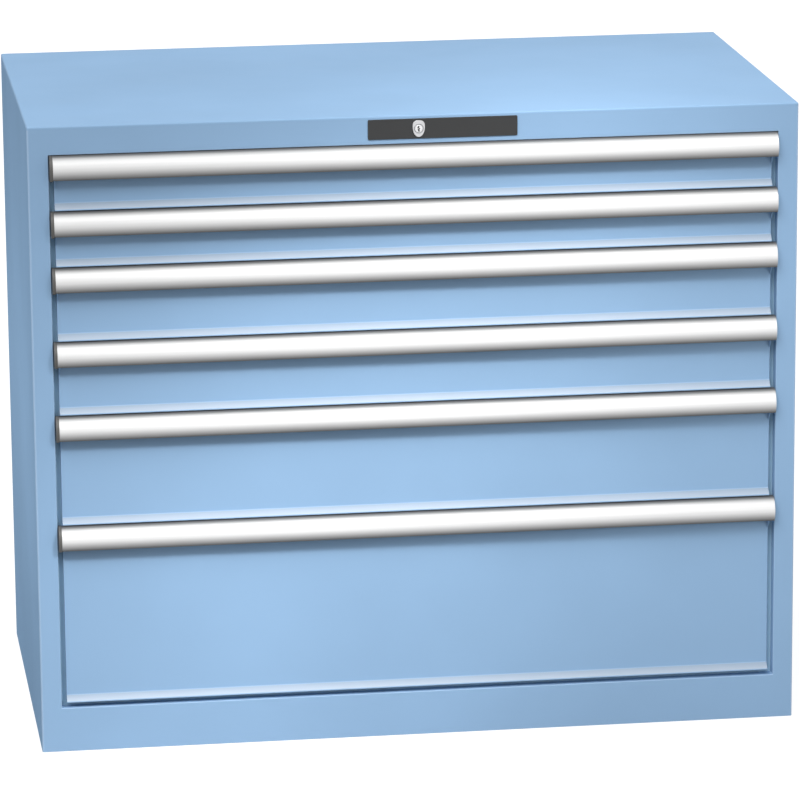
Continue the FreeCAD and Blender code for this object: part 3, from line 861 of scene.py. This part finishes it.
@dataclass
class Housing(Assembly):
    """Welded and painted housing: top, side walls, rear wall and front frame."""

    sizes: HousingSizes = field(default_factory=HousingSizes)

    def build_top(self) -> None:
        """Make the top panel with its turned down edge."""
        s = self.sizes
        half = s.width / 2
        piece = Bench.block("top_cover", (-half, 0, s.height - s.skirt), (half, s.depth, s.height))
        with Bench.editing(piece):
            Bench.open_up(piece, lambda c, n: n.z < -FACING)
        Bench.fold(piece, s.bend, s.sheet)
        Bench.smooth(piece)
        self.hand_over(piece, Body.CABINET.value, "top_panel", Slot.BLUE_PAINT,
                       self.palette.top_blue)

    def build_side(self, side: int) -> None:
        """Make a side wall with the return that holds the rear wall.

        Args:
            side: 1 for the right wall, -1 for the left one.
        """
        s = self.sizes
        name = "right_side_wall" if side > 0 else "left_side_wall"
        low, high = sorted((side * s.width / 2, side * (s.width / 2 - s.sheet - s.rear_return)))
        piece = Bench.block(name + "_panel", (low, s.skirt, 0), (high, s.depth, s.height - s.skirt))
        with Bench.editing(piece):
            Bench.open_up(piece, lambda c, n: abs(n.z) > FACING or n.x * side < -FACING
                          or looks_forward(c, n))
        Bench.fold(piece, s.bend, s.sheet)
        middle = side * (s.width / 2 - s.sheet - s.rear_return / 2)
        heights = [s.weld_pitch * (step + s.weld_start) for step in range(s.weld_count)]
        piece = Bench.gather([piece, *(self._weld(middle, s.depth, z) for z in heights)])
        Bench.smooth(piece)
        self.hand_over(piece, Body.CABINET.value, name, Slot.BLUE_PAINT,
                       self.palette.matt_blue)

    def _weld(self, x: float, depth: float, z: float) -> Piece:
        """Make the ring that a spot weld leaves under the paint.

        Args:
            x: Place across of its middle.
            depth: Depth of the face that it is on.
            z: Height of its middle.

        Returns:
            The ring.
        """
        s = self.sizes
        start = (x, depth - s.weld_sink, z)
        ring = Bench.rod("spot_weld", start, s.weld_radius, s.weld_thick, "Y", s.weld_sides)
        with Bench.editing(ring):
            Bench.pick(ring, Element.FACE, lambda c, n: n.y > FACING)
            bpy.ops.mesh.inset(thickness=s.weld_rim * MM, depth=0)
            bpy.ops.mesh.inset(thickness=s.weld_slope * MM, depth=-s.weld_dip * MM)
        return ring

    def build_rear(self) -> None:
        """Make the rear wall with its pressed stiffening beads."""
        s = self.sizes
        low, high = (place_of(corner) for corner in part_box("rear_wall"))
        bottom, top = low.z + s.bead_margin, high.z - s.bead_margin
        half = s.bead_width / 2
        piece = Bench.block("rear_wall_pressed", (low.x, low.y, low.z), (high.x, high.y, high.z))
        with Bench.editing(piece):
            Bench.open_up(piece, lambda c, n: n.y < FACING)
            for cut in (bottom, bottom + half, top - half, top):
                Bench.slice_at((0, 0, cut), (0, 0, 1))
            for middle in s.bead_places:
                for cut in (middle - half, middle, middle + half):
                    Bench.slice_at((cut, 0, 0), (1, 0, 0))
            for middle in s.bead_places:
                Bench.pick(piece, Element.FACE,
                           lambda c, n: abs(c.x - middle) < half and bottom < c.z < top)
                bpy.ops.mesh.inset(thickness=s.bead_width / 3 * MM, depth=-s.bead_depth * MM)
        Bench.round_edges(piece, s.bead_edge, angle=8.0)
        Bench.thicken(piece, s.rear_sheet)
        Bench.smooth(piece, 50.0)
        self.hand_over(piece, Body.CABINET.value, "rear_wall", Slot.BLUE_PAINT)

    def build_front(self) -> None:
        """Make the welded front frame: posts, fascia, plinth rail and the stop behind them."""
        s = self.sizes
        half = s.width / 2
        side, low, high = half - s.post, s.plinth, s.height - s.fascia
        middle = (low + high) / 2
        corners = (-half, 0, 0), (half, s.skirt, s.height - s.skirt)
        piece = Bench.block("front_frame_welded", *corners)
        with Bench.editing(piece):
            Bench.open_up(piece, lambda c, n: abs(n.z) > FACING or n.y > FACING)
            for cut in (-side, side):
                Bench.slice_at((cut, 0, 0), (1, 0, 0))
            for cut in (low, high):
                Bench.slice_at((0, 0, cut), (0, 0, 1))
            Bench.open_up(piece, lambda c, n: looks_forward(c, n) and abs(c.x) < side
                          and low < c.z < high)
            Bench.pick(piece, Element.EDGE, lambda c, n: c.y < NEAR and (
                (abs(abs(c.x) - side) < NEAR and low < c.z < high)
                or (abs(c.x) < side and min(abs(c.z - low), abs(c.z - high)) < NEAR)))
            Bench.pull(depth=s.stop_depth)
            bpy.ops.mesh.extrude_region()
            narrower, lower = (1 - s.stop_width / span for span in (side, (high - low) / 2))
            Bench.stretch(spot(0, s.stop_depth, middle), narrower, lower)
        self._frame_facing(piece)
        with Bench.editing(piece):
            Bench.pick(piece, Element.EDGE,
                       lambda c, n: abs(n.z) > FACING and abs(c.x) > half - NEAR and c.y < NEAR)
            Bench.bevel(s.bend, 4)
        Bench.fold(piece, s.frame_edge, s.sheet, 3)
        start, length = (s.lock_x, -PAST, s.lock_z), PAST + s.lock_hole_depth
        Bench.cut_out(piece, Bench.rod("lock_hole_cutter", start, s.lock_hole, length, "Y"))
        Bench.smooth(piece)
        self.hand_over(piece, Body.CABINET.value, "front_frame", Slot.BLUE_PAINT)
        # The stop faces deep in the reveal take the paler stop paint, painted light in the recess.
        self.dress_faces(piece, self.palette.stop,
                         lambda c, n: c.y > s.stop_depth - s.sheet and n.y < -0.7)

    @staticmethod
    def _frame_facing(piece: Piece) -> None:
        """Turn the open front skin so that its faces look out and forward.

        Args:
            piece: The front frame's skin.
        """
        with Bench.editing(piece):
            bpy.ops.mesh.select_all(action="SELECT")
            bpy.ops.mesh.normals_make_consistent(inside=False)
        face = max(piece.data.polygons, key=lambda p: p.area * abs(p.normal.y))
        if face.normal.y > 0:
            with Bench.editing(piece):
                bpy.ops.mesh.select_all(action="SELECT")
                bpy.ops.mesh.flip_normals()

    def build(self) -> None:
        """Make and dress all of the housing."""
        self.build_top()
        self.build_side(1)
        self.build_side(-1)
        self.build_front()
        self.build_rear()
        self.dress_node("bottom_panel", self.palette.blue)
        for node in ("slotted_uprights", "cabinet_rails"):
            self.dress_node(node, self.palette.zinc)


@dataclass
class FrontSizes:
    """Sizes of a drawer front and its grip in millimetres."""

    half_width: float = 477.2
    sheet: float = 1.2
    recess: float = 7.0
    lip: float = 2.0
    slope: float = 7.5
    back: float = 15.5
    bend: float = 0.9
    gusset: tuple[Pair, ...] = ((7.0, -15.0), (-4.5, -15.0), (-5.5, -31.0), (7.0, -45.0))
    gusset_start: tuple[Pair, ...] = ((10, -10), (-10, -10), (-10, -40), (10, -40))
    gusset_edge: float = 0.3
    grip_left: float = -479.15
    grip_right: float = 483.15
    grip_wall: float = 2.0
    grip_height: float = 32.3
    grip_top: float = -0.5
    grip_centre: Pair = (9.898, -19.706)
    grip_radius: float = 22.3
    grip_edge: float = 0.7
    grip_steps: int = 28
    leg_height: float = 14.0
    cap: float = 4.0
    cap_foot: float = -33.3
    cap_edge: float = 0.45
    cap_sides: int = 96
    spigot: float = 6.0
    spigot_root: float = 0.5
    plug: float = 4.0
    plug_inset: float = 0.3
    fit: float = 0.2


@dataclass
class Drawer(Assembly):
    """One drawer, from 1 at the top to 6: its front, grip, end caps, tray, rails and rollers."""

    grips: ClassVar[dict[str, Piece]] = {}
    number: int = 1
    sizes: FrontSizes = field(default_factory=FrontSizes)

    def __post_init__(self) -> None:
        """Find the drawer's body and the heights of its front."""
        self.body = f"drawer_{self.number}"
        low, high = (place_of(corner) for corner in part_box(f"{self.body}_front"))
        self.bottom, self.top = low.z, high.z

    def build_front(self) -> None:
        """Make the folded front with its sloping foot, lip and gussets."""
        s = self.sizes
        lip_top = self.bottom + s.lip
        slope_top = lip_top + s.slope
        corners = (-s.half_width, 0, self.bottom), (s.half_width, s.back, self.top)
        piece = Bench.block(f"{self.body}_front_pan", *corners)
        with Bench.editing(piece):
            for cut in (lip_top, slope_top):
                Bench.slice_at((0, 0, cut), (0, 0, 1))
            Bench.pick(piece, Element.VERTEX, lambda c, n: c.y < NEAR and c.z > slope_top - NEAR)
            Bench.shift(depth=s.recess)
            Bench.open_up(piece, lambda c, n: n.y > FACING)
        Bench.fold(piece, s.bend, s.sheet, 3)
        Bench.smooth(piece)
        self.hand_over(piece, self.body, f"{self.body}_front", Slot.BLUE_PAINT)
        # The sloping faces take the foot paint: a painted sheen with painted shade towards the
        # slope's top.
        self.dress_faces(piece, self.palette.foot,
                         lambda c, n: lip_top < c.z < slope_top and n.y < -0.3 and n.z > 0.3)
        # Share down the slope, 0 at its top and 1 at the lip, that turns the foot paint from
        # painted shade to painted highlight.
        fold = piece.data.attributes.new("fold", "FLOAT", "POINT")
        for vertex in piece.data.vertices:
            share = (slope_top - place_of(vertex.co).z) / s.slope
            fold.data[vertex.index].value = min(1.0, max(0.0, share))
        Bench.gather([piece, *(self._gusset(piece.name, side) for side in (1, -1))])

    def _gusset(self, name: str, side: int) -> Piece:
        """Make one gusset under the grip's end.

        Args:
            name: Start of its name.
            side: 1 for the right one, -1 for the left one.

        Returns:
            The gusset's plate.
        """
        s = self.sizes
        left, right = sorted((side * s.half_width, side * (s.half_width - s.sheet)))
        (rear, upper), (front, lower) = s.gusset_start[0], s.gusset_start[2]
        corners = (left, front, self.top + lower), (right, rear, self.top + upper)
        plate = Bench.block(f"{name}_gusset", *corners)
        with Bench.editing(plate):
            for (depth, drop), (new_depth, new_drop) in zip(s.gusset_start, s.gusset):
                z = self.top + drop
                Bench.pick(plate, Element.VERTEX,
                           lambda c, n: abs(c.y - depth) < NEAR and abs(c.z - z) < NEAR)
                Bench.shift(depth=new_depth - depth, z=new_drop - drop)
        Bench.round_edges(plate, s.gusset_edge, 2)
        Bench.smooth(plate)
        plate.data.materials.append(self.palette.blue)
        return plate

    def build_grip(self) -> None:
        """Make the full width grip, or copy the first one."""
        if "grip" not in self.grips:
            self.grips["grip"] = self._first_grip()
        piece = Bench.copy_to(self.grips["grip"], f"{self.body}_grip", self.top)
        self.hand_over(piece, self.body, f"{self.body}_handle", Slot.ALUMINIUM)

    def _first_grip(self) -> Piece:
        """Model the grip's section at height 0 and extrude it.

        Returns:
            The master that the drawers copy.
        """
        s = self.sizes
        left, right = s.grip_left, s.grip_right
        centre_depth, centre_height = s.grip_centre
        inner_radius = s.grip_radius - s.grip_wall
        inner_top = centre_depth - math.sqrt(inner_radius ** 2 - (centre_height + s.grip_wall) ** 2)
        front = s.recess - s.grip_wall
        piece = Bench.block("grip_master", (left, front, -s.grip_wall), (left + 1, s.recess, 0))
        with Bench.editing(piece):
            Bench.open_up(piece, lambda c, n: n.x > -FACING)
            Bench.pick(piece, Element.EDGE, lambda c, n: abs(c.z + s.grip_wall) < NEAR)
            Bench.pull(z=s.grip_wall - s.leg_height)
            Bench.pick(piece, Element.EDGE,
                       lambda c, n: abs(c.y - front) < NEAR and c.z > -s.grip_wall)
            Bench.pull(depth=s.grip_top - front)
            Bench.pick(piece, Element.VERTEX,
                       lambda c, n: abs(c.y - s.grip_top) < NEAR and c.z < -NEAR)
            Bench.shift(depth=inner_top - s.grip_top)
            half = s.grip_wall / 2
            Bench.pick(piece, Element.EDGE,
                       lambda c, n: c.y < 0 and abs(c.z + half) < NEAR and abs(n.z) > 0.3)
            start = math.atan2(-centre_height, centre_depth - s.grip_top)
            end = math.asin((-s.grip_height - centre_height) / s.grip_radius)
            centre = spot(left, centre_depth, centre_height)
            bpy.ops.mesh.spin(steps=s.grip_steps, angle=end - start, center=centre, axis=(1, 0, 0))
            self._check_spin(piece)
            Bench.pick(piece, Element.FACE, lambda c, n: True)
            Bench.pull(x=right - left)
        Bench.face_out(piece)
        Bench.round_edges(piece, s.grip_edge, angle=50.0)
        Bench.smooth(piece, 40.0)
        # Share round the arc from the lower edge at 0 to the upper at 1, which the grip's material
        # turns into painted shade at both edges.
        turn = piece.data.attributes.new("turn", "FLOAT", "POINT")
        for vertex in piece.data.vertices:
            place = place_of(vertex.co)
            angle = math.atan2(place.z - centre_height, centre_depth - place.y)
            turn.data[vertex.index].value = min(1.0, max(0.0, (angle - end) / (start - end)))
        piece.hide_render = True
        return piece

    def _check_spin(self, piece: Piece) -> None:
        """Stop if the arc went the wrong way.

        Args:
            piece: The section in edit mode.

        Raises:
            ValueError: If the arc misses the grip's foot or its foremost place.
        """
        shape = bmesh.from_edit_mesh(piece.data)
        lowest = min(place_of(v.co).z for v in shape.verts)
        foremost = min(place_of(v.co).y for v in shape.verts)
        radius, (centre, _) = self.sizes.grip_radius, self.sizes.grip_centre
        if abs(lowest + self.sizes.grip_height) > 1.0 or foremost > centre - radius + 1.0:
            raise ValueError(f"grip section reaches {lowest:.1f} down and {foremost:.1f} forward")

    def _slab(self, name: str, x: float, width: float, radius: float, back: float, top: float,
              foot: float) -> Piece:
        """Make a plate with the grip's round front, by cutting a disc.

        Args:
            name: Name of the plate.
            x: Its left side.
            width: Its thickness.
            radius: Radius of its round front.
            back: Depth of its rear edge.
            top: Height of its upper edge.
            foot: Height of its lower edge.

        Returns:
            The plate, at height 0.
        """
        s = self.sizes
        piece = Bench.rod(name, (x, *s.grip_centre), radius, width, "X", s.cap_sides)
        with Bench.editing(piece):
            Bench.slice_at((0, back, 0), (0, 1, 0), close=True)
            Bench.slice_at((0, 0, top), (0, 0, 1), close=True)
            Bench.slice_at((0, 0, foot), (0, 0, -1), close=True)
        Bench.round_edges(piece, s.cap_edge, angle=50.0)
        return piece

    def build_caps(self) -> None:
        """Make the left end cap and the right end's plug, or copy the first ones."""
        s = self.sizes
        if "caps" not in self.grips:
            inner = s.grip_radius - s.grip_wall - s.fit
            plate = self._slab("caps_master", s.grip_left - s.cap, s.cap, s.grip_radius, s.recess,
                               0, s.cap_foot)
            upper, lower = -s.grip_wall - s.fit, -s.leg_height + s.fit
            back = s.recess - s.grip_wall - s.fit
            places = (("spigot", s.grip_left - s.spigot_root, s.spigot + s.spigot_root),
                      ("plug", s.grip_right - s.plug, s.plug - s.plug_inset))
            inside = [self._slab(*place, inner, back, upper, lower) for place in places]
            master = Bench.gather([plate, *inside])
            Bench.smooth(master, 40.0)
            master.hide_render = True
            self.grips["caps"] = master
        piece = Bench.copy_to(self.grips["caps"], f"{self.body}_grip_caps", self.top)
        self.hand_over(piece, self.body, f"{self.body}_handle_caps", Slot.CAP)

    def build(self) -> None:
        """Make and dress the whole drawer."""
        self.build_front()
        self.build_grip()
        self.build_caps()
        self.dress_node(f"{self.body}_tray", self.palette.grey)
        for part in ("rails", "carriage"):
            self.dress_node(f"{self.body}_{part}", self.palette.zinc)
        for part in ("front_rollers", "rear_rollers"):
            self.dress_node(f"{self.body}_{part}", self.palette.roller)

    @classmethod
    def put_away_masters(cls) -> None:
        """Remove the masters that the drawers copied."""
        for master in cls.grips.values():
            bpy.data.objects.remove(master, do_unlink=True)
        cls.grips.clear()


@dataclass
class LockSizes:
    """Sizes of the central lock in millimetres."""

    x: float = 2.5
    z: float = 831.95
    panel_left: float = -64.6
    panel_right: float = 133.8
    panel_height: float = 26.5
    panel_thick: float = 1.5
    panel_corner: float = 1.5
    panel_edge: float = 0.35
    barrel: float = 9.0
    neck: float = 7.3
    neck_gap: float = 0.1
    barrel_end: float = 21.7
    shield_width: float = 16.2
    shield_height: float = 22.0
    shield_thick: float = 1.5
    shield_sides: int = 72
    round_sides: int = 64
    hole_sides: int = 48
    shoulder: float = 2.7
    toe: float = 2.15
    waist: float = 0.36
    shield_edge: float = 0.5
    mouth: float = 6.9
    mouth_lead: float = 0.5
    mouth_depth: float = 1.0
    mouth_taper: float = 0.82
    rotor: float = 5.0
    rotor_edge: float = 0.55
    fit: float = 0.05
    proud: float = 0.4
    key_half: float = 0.95
    key_depth: float = 6.0
    keyway: tuple[tuple[float, float, float], ...] = (
        (-0.3, 2.1, 3.8), (-1.0, 0.5, 2.3), (0.5, -0.9, 0.8), (-0.5, -2.3, -0.6), (0.3, -3.8, -2.0))
    cam: float = 11.0
    cam_thick: float = 2.0
    cam_gap: float = 0.3
    cam_edge: float = 0.3
    bar_travel: float = 10.0
    pin: float = 2.0
    pin_length: float = 5.0
    pin_sides: int = 32


@dataclass
class Lock(Assembly):
    """Central lock: dark panel, shield, turning core and the bar behind the post."""

    sizes: LockSizes = field(default_factory=LockSizes)

    def build_panel(self) -> None:
        """Make the dark panel round the lock."""
        s = self.sizes
        low, high = s.z - s.panel_height / 2, s.z + s.panel_height / 2
        corners = (s.panel_left, -s.panel_thick, low), (s.panel_right, 0, high)
        piece = Bench.block("lock_panel_plate", *corners)
        with Bench.editing(piece):
            Bench.pick(piece, Element.EDGE, lambda c, n: abs(n.y) > FACING)
            Bench.bevel(s.panel_corner, 5)
            Bench.pick(piece, Element.FACE, looks_forward)
            Bench.bevel(s.panel_edge)
        radius, end = s.neck + s.neck_gap, 2 * PAST
        hole = self._rod("panel_hole_cutter", -end, end, radius, s.hole_sides)
        Bench.cut_out(piece, hole)
        Bench.smooth(piece)
        self.hand_over(piece, Body.CABINET.value, "lock_panel", Slot.DARK_PLASTIC)

    def build_cylinder(self) -> None:
        """Make the shield with its coned mouth, and the stepped barrel behind it."""
        s = self.sizes
        back = -s.panel_thick
        face = back - s.shield_thick
        shield = self._rod("lock_shield", face, back, s.shield_height / 2, s.shield_sides)
        with Bench.editing(shield):
            self._shape_shield(shield)
            Bench.pick(shield, Element.FACE, looks_forward)
            Bench.bevel(s.shield_edge)
        barrel = self._rod("lock_barrel", s.fit, s.barrel_end, s.barrel)
        with Bench.editing(barrel):
            Bench.pick(barrel, Element.FACE, looks_forward)
            bpy.ops.mesh.inset(thickness=(s.barrel - s.neck) * MM)
            Bench.pull(depth=back - s.fit)
        bore = self._rod("lock_bore_cutter", face - PAST, s.barrel_end + PAST, s.rotor + s.fit)
        mouth = self._rod("lock_mouth_cutter", face - s.mouth_lead, face + s.mouth_depth, s.mouth)
        with Bench.editing(mouth):
            Bench.pick(mouth, Element.FACE, lambda c, n: n.y > FACING)
            Bench.stretch(spot(s.x, 0, s.z), s.mouth_taper, s.mouth_taper)
        Bench.cut_out(shield, Bench.copy_to(bore, "shield_bore_cutter", 0))
        Bench.cut_out(shield, mouth)
        Bench.cut_out(barrel, bore)
        piece = Bench.gather([shield, barrel])
        Bench.smooth(piece)
        self.hand_over(piece, Body.CABINET.value, "lock_cylinder", Slot.LOCK_METAL)
        # The faces inside the mouth take the darker metal, painted shade round the core.
        self.dress_faces(piece, self.palette.recess,
                         lambda c, n: self._off_axis(c) < s.mouth and c.y > face + 0.02)

    def _rod(self, name: str, front: float, rear: float, radius: float, sides: int = 0) -> Piece:
        """Make a bar on the rotor's axis from one depth to another."""
        s = self.sizes
        return Bench.rod(name, (s.x, front, s.z), radius, rear - front, "Y", sides or s.round_sides)

    def _off_axis(self, place: Vector) -> float:
        """Measure how far a place is from the rotor's axis, in millimetres."""
        return math.hypot(place.x - self.sizes.x, place.z - self.sizes.z)

    def _shape_shield(self, shield: Piece) -> None:
        """Turn a disc's outline into a shield: an arch above its waist, a rounded toe below.

        Args:
            shield: The disc in edit mode.
        """
        s = self.sizes
        radius, centre = s.shield_height / 2, spot(s.x, 0, s.z)
        for step in range(s.shield_sides):
            angle = 2 * math.pi * step / s.shield_sides
            x, z = radius * math.sin(angle), radius * math.cos(angle)
            power = s.shoulder if z > 0 else s.toe
            factor = (abs(math.sin(angle)) ** power + abs(math.cos(angle)) ** power) ** (-1 / power)
            Bench.pick(shield, Element.VERTEX,
                       lambda c, n: math.hypot(c.x - s.x - x, c.z - s.z - z) < NEAR)
            Bench.stretch(centre, factor, factor)
        for side, share in ((1, s.waist), (-1, 1 - s.waist)):
            Bench.pick(shield, Element.VERTEX, lambda c, n: (c.z - s.z) * side > NEAR)
            Bench.stretch(centre, z=2 * share)
        bpy.ops.mesh.select_all(action="SELECT")
        Bench.stretch(centre, s.shield_width / s.shield_height)
        Bench.shift(z=(0.5 - s.waist) * s.shield_height)

    def build_rotor(self) -> None:
        """Make the core with its stepped keyway, cam and pin."""
        s = self.sizes
        face = -s.panel_thick - s.shield_thick - s.proud
        cam_front = s.barrel_end + s.cam_gap
        cam_rear = cam_front + s.cam_thick
        core = self._rod("lock_core", face, cam_rear, s.rotor)
        with Bench.editing(core):
            Bench.pick(core, Element.FACE, looks_forward)
            Bench.bevel(s.rotor_edge)
        for index, (step, low, high) in enumerate(s.keyway):
            left, right = s.x + step - s.key_half, s.x + step + s.key_half
            corners = (left, face - PAST, s.z + low), (right, face + s.key_depth, s.z + high)
            Bench.cut_out(core, Bench.block(f"keyway_cutter_{index}", *corners))
        cam = self._rod("lock_cam", cam_front, cam_rear, s.cam)
        Bench.round_edges(cam, s.cam_edge, 2)
        aside = s.bar_travel / 2
        start = (s.x + aside, cam_rear, s.z + aside)
        pin = Bench.rod("lock_pin", start, s.pin, s.pin_length, "Y", s.pin_sides)
        Bench.round_edges(pin, s.cam_edge, 2)
        piece = Bench.gather([core, cam, pin])
        Bench.smooth(piece)
        self.hand_over(piece, Body.LOCK_ROTOR.value, "lock_rotor", Slot.LOCK_METAL,
                       self.palette.core)
        # The keyway's inner faces take a near-black finish: painted shade inside the slot.
        inside = s.rotor - s.rotor_edge - NEAR
        self.dress_faces(piece, self.palette.keyway,
                         lambda c, n: self._off_axis(c) < inside and face + NEAR < c.y < cam_front)

    def build(self) -> None:
        """Make and dress the whole lock."""
        self.build_panel()
        self.build_cylinder()
        self.build_rotor()
        self.dress_node("lock_bar", self.palette.zinc)


def heading(azimuth: float, elevation: float) -> Vector:
    """Find the way from the cabinet to a lamp, from radians to the right and upwards."""
    level = math.cos(elevation)
    return Vector((math.sin(azimuth) * level, -math.cos(azimuth) * level, math.sin(elevation)))


@dataclass
class CameraSizes:
    """The photograph's viewpoint, in millimetres, radians and pixels of an 800 pixel frame."""

    place: Point = (-881.2, -6617.3, 2038.3)
    azimuth: float = 0.1343
    elevation: float = 0.2411
    roll: float = -0.008
    focal_pixels: float = 4954.2
    frame_pixels: float = 800.0
    sensor: float = 36.0


@dataclass(frozen=True)
class Lamp:
    """A lamp round the cabinet: a rectangular panel if it has a size, or else a distant disc.

    Its power is in watts, or watts per square metre for a distant one. Its spread, azimuth to the
    right of straight in front, elevation and roll are degrees. Its distance, target (behind the
    front plane) and size are metres.
    """

    name: str
    power: float
    spread: float
    azimuth: float
    elevation: float
    distance: float = 3.0
    target: Point = (0.0, 0.0, 0.4)
    roll: float = 0.0
    size: Pair | None = None

    def hang(self) -> None:
        """Add the lamp and point it at its target."""
        bpy.ops.object.light_add(type="AREA" if self.size else "SUN")
        lamp = bpy.context.active_object
        lamp.name = self.name
        lamp.data.energy = self.power
        if self.size:
            lamp.visible_camera = False
            lamp.data.shape = "RECTANGLE"
            lamp.data.size, lamp.data.size_y = self.size
            lamp.data.spread = math.radians(self.spread)
        else:
            lamp.data.angle = math.radians(self.spread)
        out = heading(math.radians(self.azimuth), math.radians(self.elevation))
        lamp.location = Vector(self.target) + Vector((0, FRONT_PLANE, 0)) + out * self.distance
        turn = Quaternion((0, 0, 1), math.radians(self.roll))
        lamp.rotation_mode = "QUATERNION"
        lamp.rotation_quaternion = (-out).to_track_quat("-Z", "Y") @ turn


@dataclass
class Studio:
    """Floor, pale surroundings, lamps and the camera."""

    view: CameraSizes = field(default_factory=CameraSizes)
    sky: float = 0.53
    floor_width: float = 60.0
    floor_drop: float = 0.0004
    floor_bounce: float = 0.32
    floor_glow: float = 0.80
    floor_shade: float = 0.30
    lamps: tuple[Lamp, ...] = (
        Lamp("soft_key", power=2.12, spread=40.0, azimuth=-30.0, elevation=52.0),
        Lamp("soft_back", power=0.8, spread=50.0, azimuth=140.0, elevation=25.0),
        Lamp("strip_lamp", power=1.38, spread=20.0, azimuth=30.0, elevation=45.0, roll=22.0,
             target=(-0.13, 0.0, 0.375), size=(0.88, 0.25)),
        Lamp("side_lamp", power=0.17, spread=30.0, azimuth=-90.0, elevation=0.0, distance=1.5,
             target=(-0.5115, 0.28, 0.44), size=(0.6, 0.2)),
        Lamp("fill_lamp", power=0.26, spread=32.0, azimuth=35.0, elevation=14.0, distance=2.0,
             target=(0.46, 0.0, 0.40), size=(0.25, 0.45)))

    def build_camera(self) -> None:
        """Put the camera at the photograph's viewpoint."""
        v = self.view
        ahead = -heading(-v.azimuth, v.elevation)
        side = Vector((math.cos(v.azimuth), -math.sin(v.azimuth), 0))
        over = side.cross(ahead)
        right = math.cos(v.roll) * side + math.sin(v.roll) * over
        upward = right.cross(ahead)
        bpy.ops.object.camera_add(location=Vector(v.place) * MM)
        camera = bpy.context.active_object
        camera.name = "photo_camera"
        camera.rotation_mode = "QUATERNION"
        camera.rotation_quaternion = Matrix((right, upward, -ahead)).transposed().to_quaternion()
        camera.data.sensor_width = v.sensor
        camera.data.lens = v.focal_pixels / v.frame_pixels * v.sensor
        camera.data.clip_end = 100.0
        bpy.context.scene.camera = camera

    def build_floor(self) -> None:
        """Lay a wide pale floor that shows white and keeps the object's shadow."""
        bpy.ops.mesh.primitive_plane_add(size=self.floor_width, location=(0, 0, -self.floor_drop))
        floor = bpy.context.active_object
        floor.name = "studio_floor"
        board = Board("pale_floor")
        matt = board.node("ShaderNodeBsdfDiffuse", {"Color": (*(self.floor_bounce,) * 3, 1)})
        seen = self._seen_directly(board.tree)
        glow = board.node("ShaderNodeEmission", {"Strength": self.floor_glow})
        shaded = board.node("ShaderNodeBsdfDiffuse", {"Color": (*(self.floor_shade,) * 3, 1)})
        shown = board.node("ShaderNodeAddShader", {0: glow.outputs[0], 1: shaded.outputs[0]})
        sockets = {0: seen, 1: matt.outputs[0], 2: shown.outputs[0]}
        mixed = board.node("ShaderNodeMixShader", sockets)
        board.tree.links.new(mixed.outputs[0], board.output.inputs[0])
        floor.data.materials.append(board.material)
        floor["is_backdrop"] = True

    @staticmethod
    def _seen_directly(tree: bpy.types.NodeTree) -> Socket:
        """Tell camera, glossy and transmission rays from the rest.

        Args:
            tree: The node tree that needs to know.

        Returns:
            An output that is 1 for those rays.
        """
        path = tree.nodes.new("ShaderNodeLightPath")
        last = path.outputs["Is Camera Ray"]
        for name in ("Is Glossy Ray", "Is Transmission Ray"):
            wider = tree.nodes.new("ShaderNodeMath")
            wider.operation = "MAXIMUM"
            tree.links.new(last, wider.inputs[0])
            tree.links.new(path.outputs[name], wider.inputs[1])
            last = wider.outputs[0]
        return last

    def build_sky(self) -> None:
        """Surround the object with a plain white that lights it softly."""
        world = bpy.data.worlds.new("studio_surroundings")
        bpy.context.scene.world = world
        world.use_nodes = True
        tree = world.node_tree
        tree.nodes.clear()
        output = tree.nodes.new("ShaderNodeOutputWorld")
        mixed = tree.nodes.new("ShaderNodeMixShader")
        tree.links.new(self._seen_directly(tree), mixed.inputs[0])
        for socket, strength in ((1, self.sky), (2, 1.0)):
            shade = tree.nodes.new("ShaderNodeBackground")
            shade.inputs[0].default_value = (1, 1, 1, 1)
            shade.inputs[1].default_value = strength
            tree.links.new(shade.outputs[0], mixed.inputs[socket])
        tree.links.new(mixed.outputs[0], output.inputs[0])

    def build(self) -> None:
        """Set up the whole studio."""
        bpy.context.scene.view_settings.view_transform = "Standard"
        self.build_camera()
        self.build_floor()
        self.build_sky()
        for lamp in self.lamps:
            lamp.hang()


def write_sizes() -> None:
    """Write the CAD box and the visual model's box."""
    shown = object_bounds()
    for name, (low, high) in (("cad", CAD_BOX), ("visual", shown)):
        corners = [tuple(round(v, 4) for v in corner) for corner in (low, high)]
        LOG.info("%s box: %s to %s", name, *corners)


def main() -> None:
    """Build the cabinet and its studio in order."""
    logging.basicConfig(level=logging.INFO, format="%(name)s %(message)s")
    bpy.ops.object.select_all(action="DESELECT")
    palette = Palette()
    Housing(palette).build()
    for number in range(1, DRAWERS + 1):
        Drawer(palette, number).build()
    Drawer.put_away_masters()
    Lock(palette).build()
    Studio().build()
    write_sizes()


if __name__ == "__main__":
    main()
